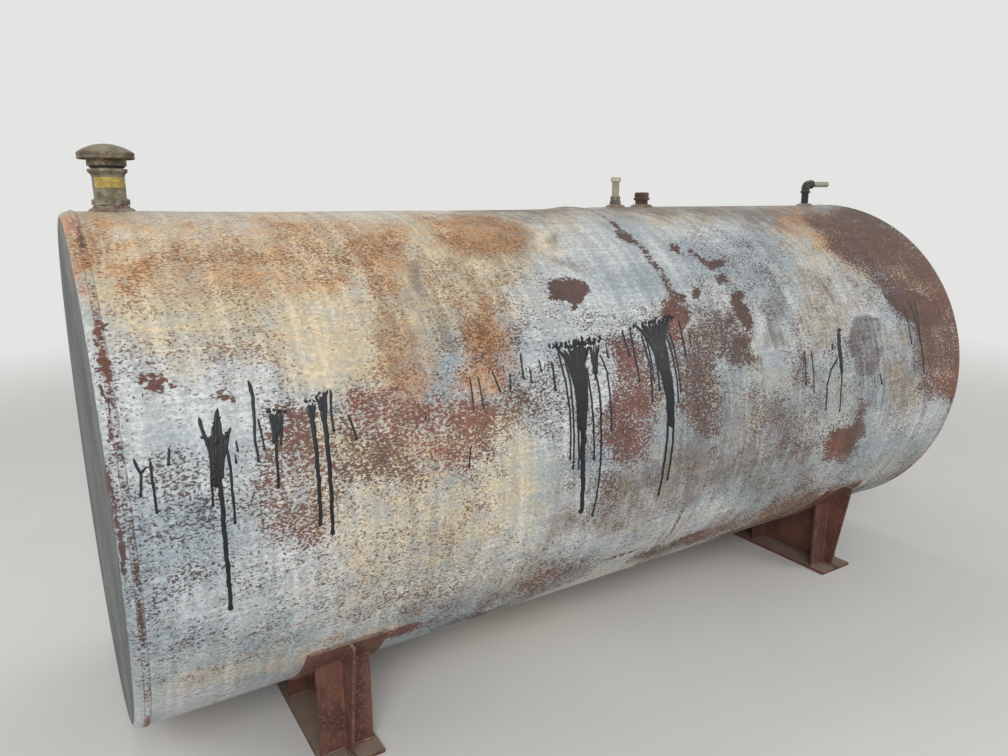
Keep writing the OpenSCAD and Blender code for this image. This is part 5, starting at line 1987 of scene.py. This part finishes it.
class Studio:
    """Pale floor, pale surroundings and large soft lamps."""

    BACKDROP, GLOW = "#F4F4F2", 0.86
    # Place, target, width, height and power of each lamp
    LAMPS = (
        ((-2.9, -4.7, 3.4), (-0.4, 0.0, 0.6), 3.4, 2.6, 162.0),
        ((3.8, -3.6, 3.2), (0.5, 0.0, 0.6), 3.0, 2.4, 64.0),
        ((0.0, 2.2, 4.8), (0.0, 0.0, 0.8), 4.0, 2.0, 50.0),
        ((-4.2, 1.0, 2.2), (-1.0, 0.0, 0.7), 2.2, 2.0, 28.0),
    )

    def make(self) -> None:
        """Makes floor, world and lamps, and sets the plain view transform."""
        scene = bpy.context.scene
        scene.view_settings.view_transform = "Standard"
        self.world(scene)
        self.floor()
        for number, (place, target, width, height, power) in enumerate(self.LAMPS):
            data = bpy.data.lights.new(f"soft_lamp_{number}", "AREA")
            data.shape, data.size, data.size_y, data.energy = "RECTANGLE", width, height, power
            lamp = bpy.data.objects.new(data.name, data)
            back = unit(np.array(place) - np.array(target))
            side = unit(np.cross((0, 0, 1), back))
            lamp.matrix_world = standing((side, np.cross(back, side), back), place)
            bpy.context.collection.objects.link(lamp)

    def world(self, scene: bpy.types.Scene) -> None:
        """Makes even pale light all round. What the camera, gloss and glass see of it is a pale backdrop.

        Args:
            scene: the scene.
        """
        world = bpy.data.worlds.new("studio")
        world.use_nodes = True
        tree = world.node_tree
        camera, glossy, through = (add(tree, "LightPath", output=f"Is {kind} Ray")
                                   for kind in ("Camera", "Glossy", "Transmission"))
        seen = add(tree, "Math", {0: camera, 1: glossy}, operation="MAXIMUM")
        seen = add(tree, "Math", {0: seen, 1: through}, operation="MAXIMUM")
        strength = add(tree, "Mix", {0: seen, 2: 0.40, 3: self.GLOW}, **NUMBER_MIX)
        background = tree.nodes["Background"]
        background.inputs["Color"].default_value = linear(self.BACKDROP)
        tree.links.new(strength, background.inputs["Strength"])
        scene.world = world

    def floor(self, half: float = 30.0) -> None:
        """Makes a level floor in matt pale grey, which takes the backdrop's brightness far from the tank.

        Args:
            half: half its width.
        """
        mesh = bpy.data.meshes.new("floor")
        corners = [(-half, -half, 0), (half, -half, 0), (half, half, 0), (-half, half, 0)]
        mesh.from_pydata(corners, [], [(0, 1, 2, 3)])
        recipe = Recipe("matt_studio_floor")
        tree = recipe.tree
        grain = recipe.pattern((300, 300, 300), 2)
        colour = add(tree, "Mix", {0: grain, 6: linear("#DEDDDA"), 7: linear("#E4E3E0")}, **COLOUR_MIX)
        roughness = add(tree, "MapRange", {0: grain, 1: 0.3, 2: 0.7, 3: 0.85, 4: 0.92}, **SOFT_STEP)
        recipe.finish(colour, roughness, add(tree, "Math", {0: grain, 1: 0.01, 2: 0.0}, **PRODUCT_SUM))
        away = add(tree, "VectorMath", {0: recipe.place}, "Value", operation="LENGTH")
        far = add(tree, "MapRange", {0: away, 1: 2.4, 2: 7.0}, **SOFT_STEP)
        camera = add(tree, "LightPath", output="Is Camera Ray")
        seen = add(tree, "Math", {0: far, 1: camera}, operation="MULTIPLY")
        glow = add(tree, "Emission", {"Color": linear(self.BACKDROP), "Strength": self.GLOW})
        mixed = add(tree, "MixShader", {0: seen, 1: recipe.shader.outputs[0], 2: glow})
        tree.links.new(mixed, tree.nodes["Material Output"].inputs["Surface"])
        mesh.materials.append(recipe.material)
        floor = bpy.data.objects.new("floor", mesh)
        bpy.context.collection.objects.link(floor)


def main() -> None:
    """Builds the studio and every piece of the tank in order."""
    logging.basicConfig(level=logging.INFO, format="%(message)s")
    sizes = TankSizes.from_frame()
    view = PhotoView()
    view.make_camera()
    Studio().make()
    palette = Palette()
    vent, gauge, fill, draw = (middle_x(f"{name}_bung") for name in ("vent", "gauge", "fill", "draw"))
    surface = ShellSurface(sizes, (vent, gauge, fill, draw))
    shared = (surface, palette, MarkMap(view, surface))
    ShellCourse(*shared, "near_shell_course", ((vent, 35 * MM),)).make()
    ShellCourse(*shared, "far_shell_course", ((gauge, 19 * MM), (fill, 25 * MM), (draw, 17 * MM))).make()
    FlangedHead(*shared, "near_head", 1).make()
    FlangedHead(*shared, "far_head", -1).make()
    ShellWelds(*shared).make()
    TarRuns(*shared).make()
    EmergencyVent(*shared, vent).make()
    LevelGauge(*shared, gauge).make()
    FillPipe(*shared, fill).make()
    DrawPipe(*shared, draw).make()
    for side in ("near", "far"):
        Saddle(*shared, side).make()
    for node, finish in KEPT_NODES.items():
        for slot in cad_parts[node].material_slots:
            slot.material = palette[finish]
        log.info("%s: CAD shape, %s", node, finish)


if __name__ == "__main__":
    main()
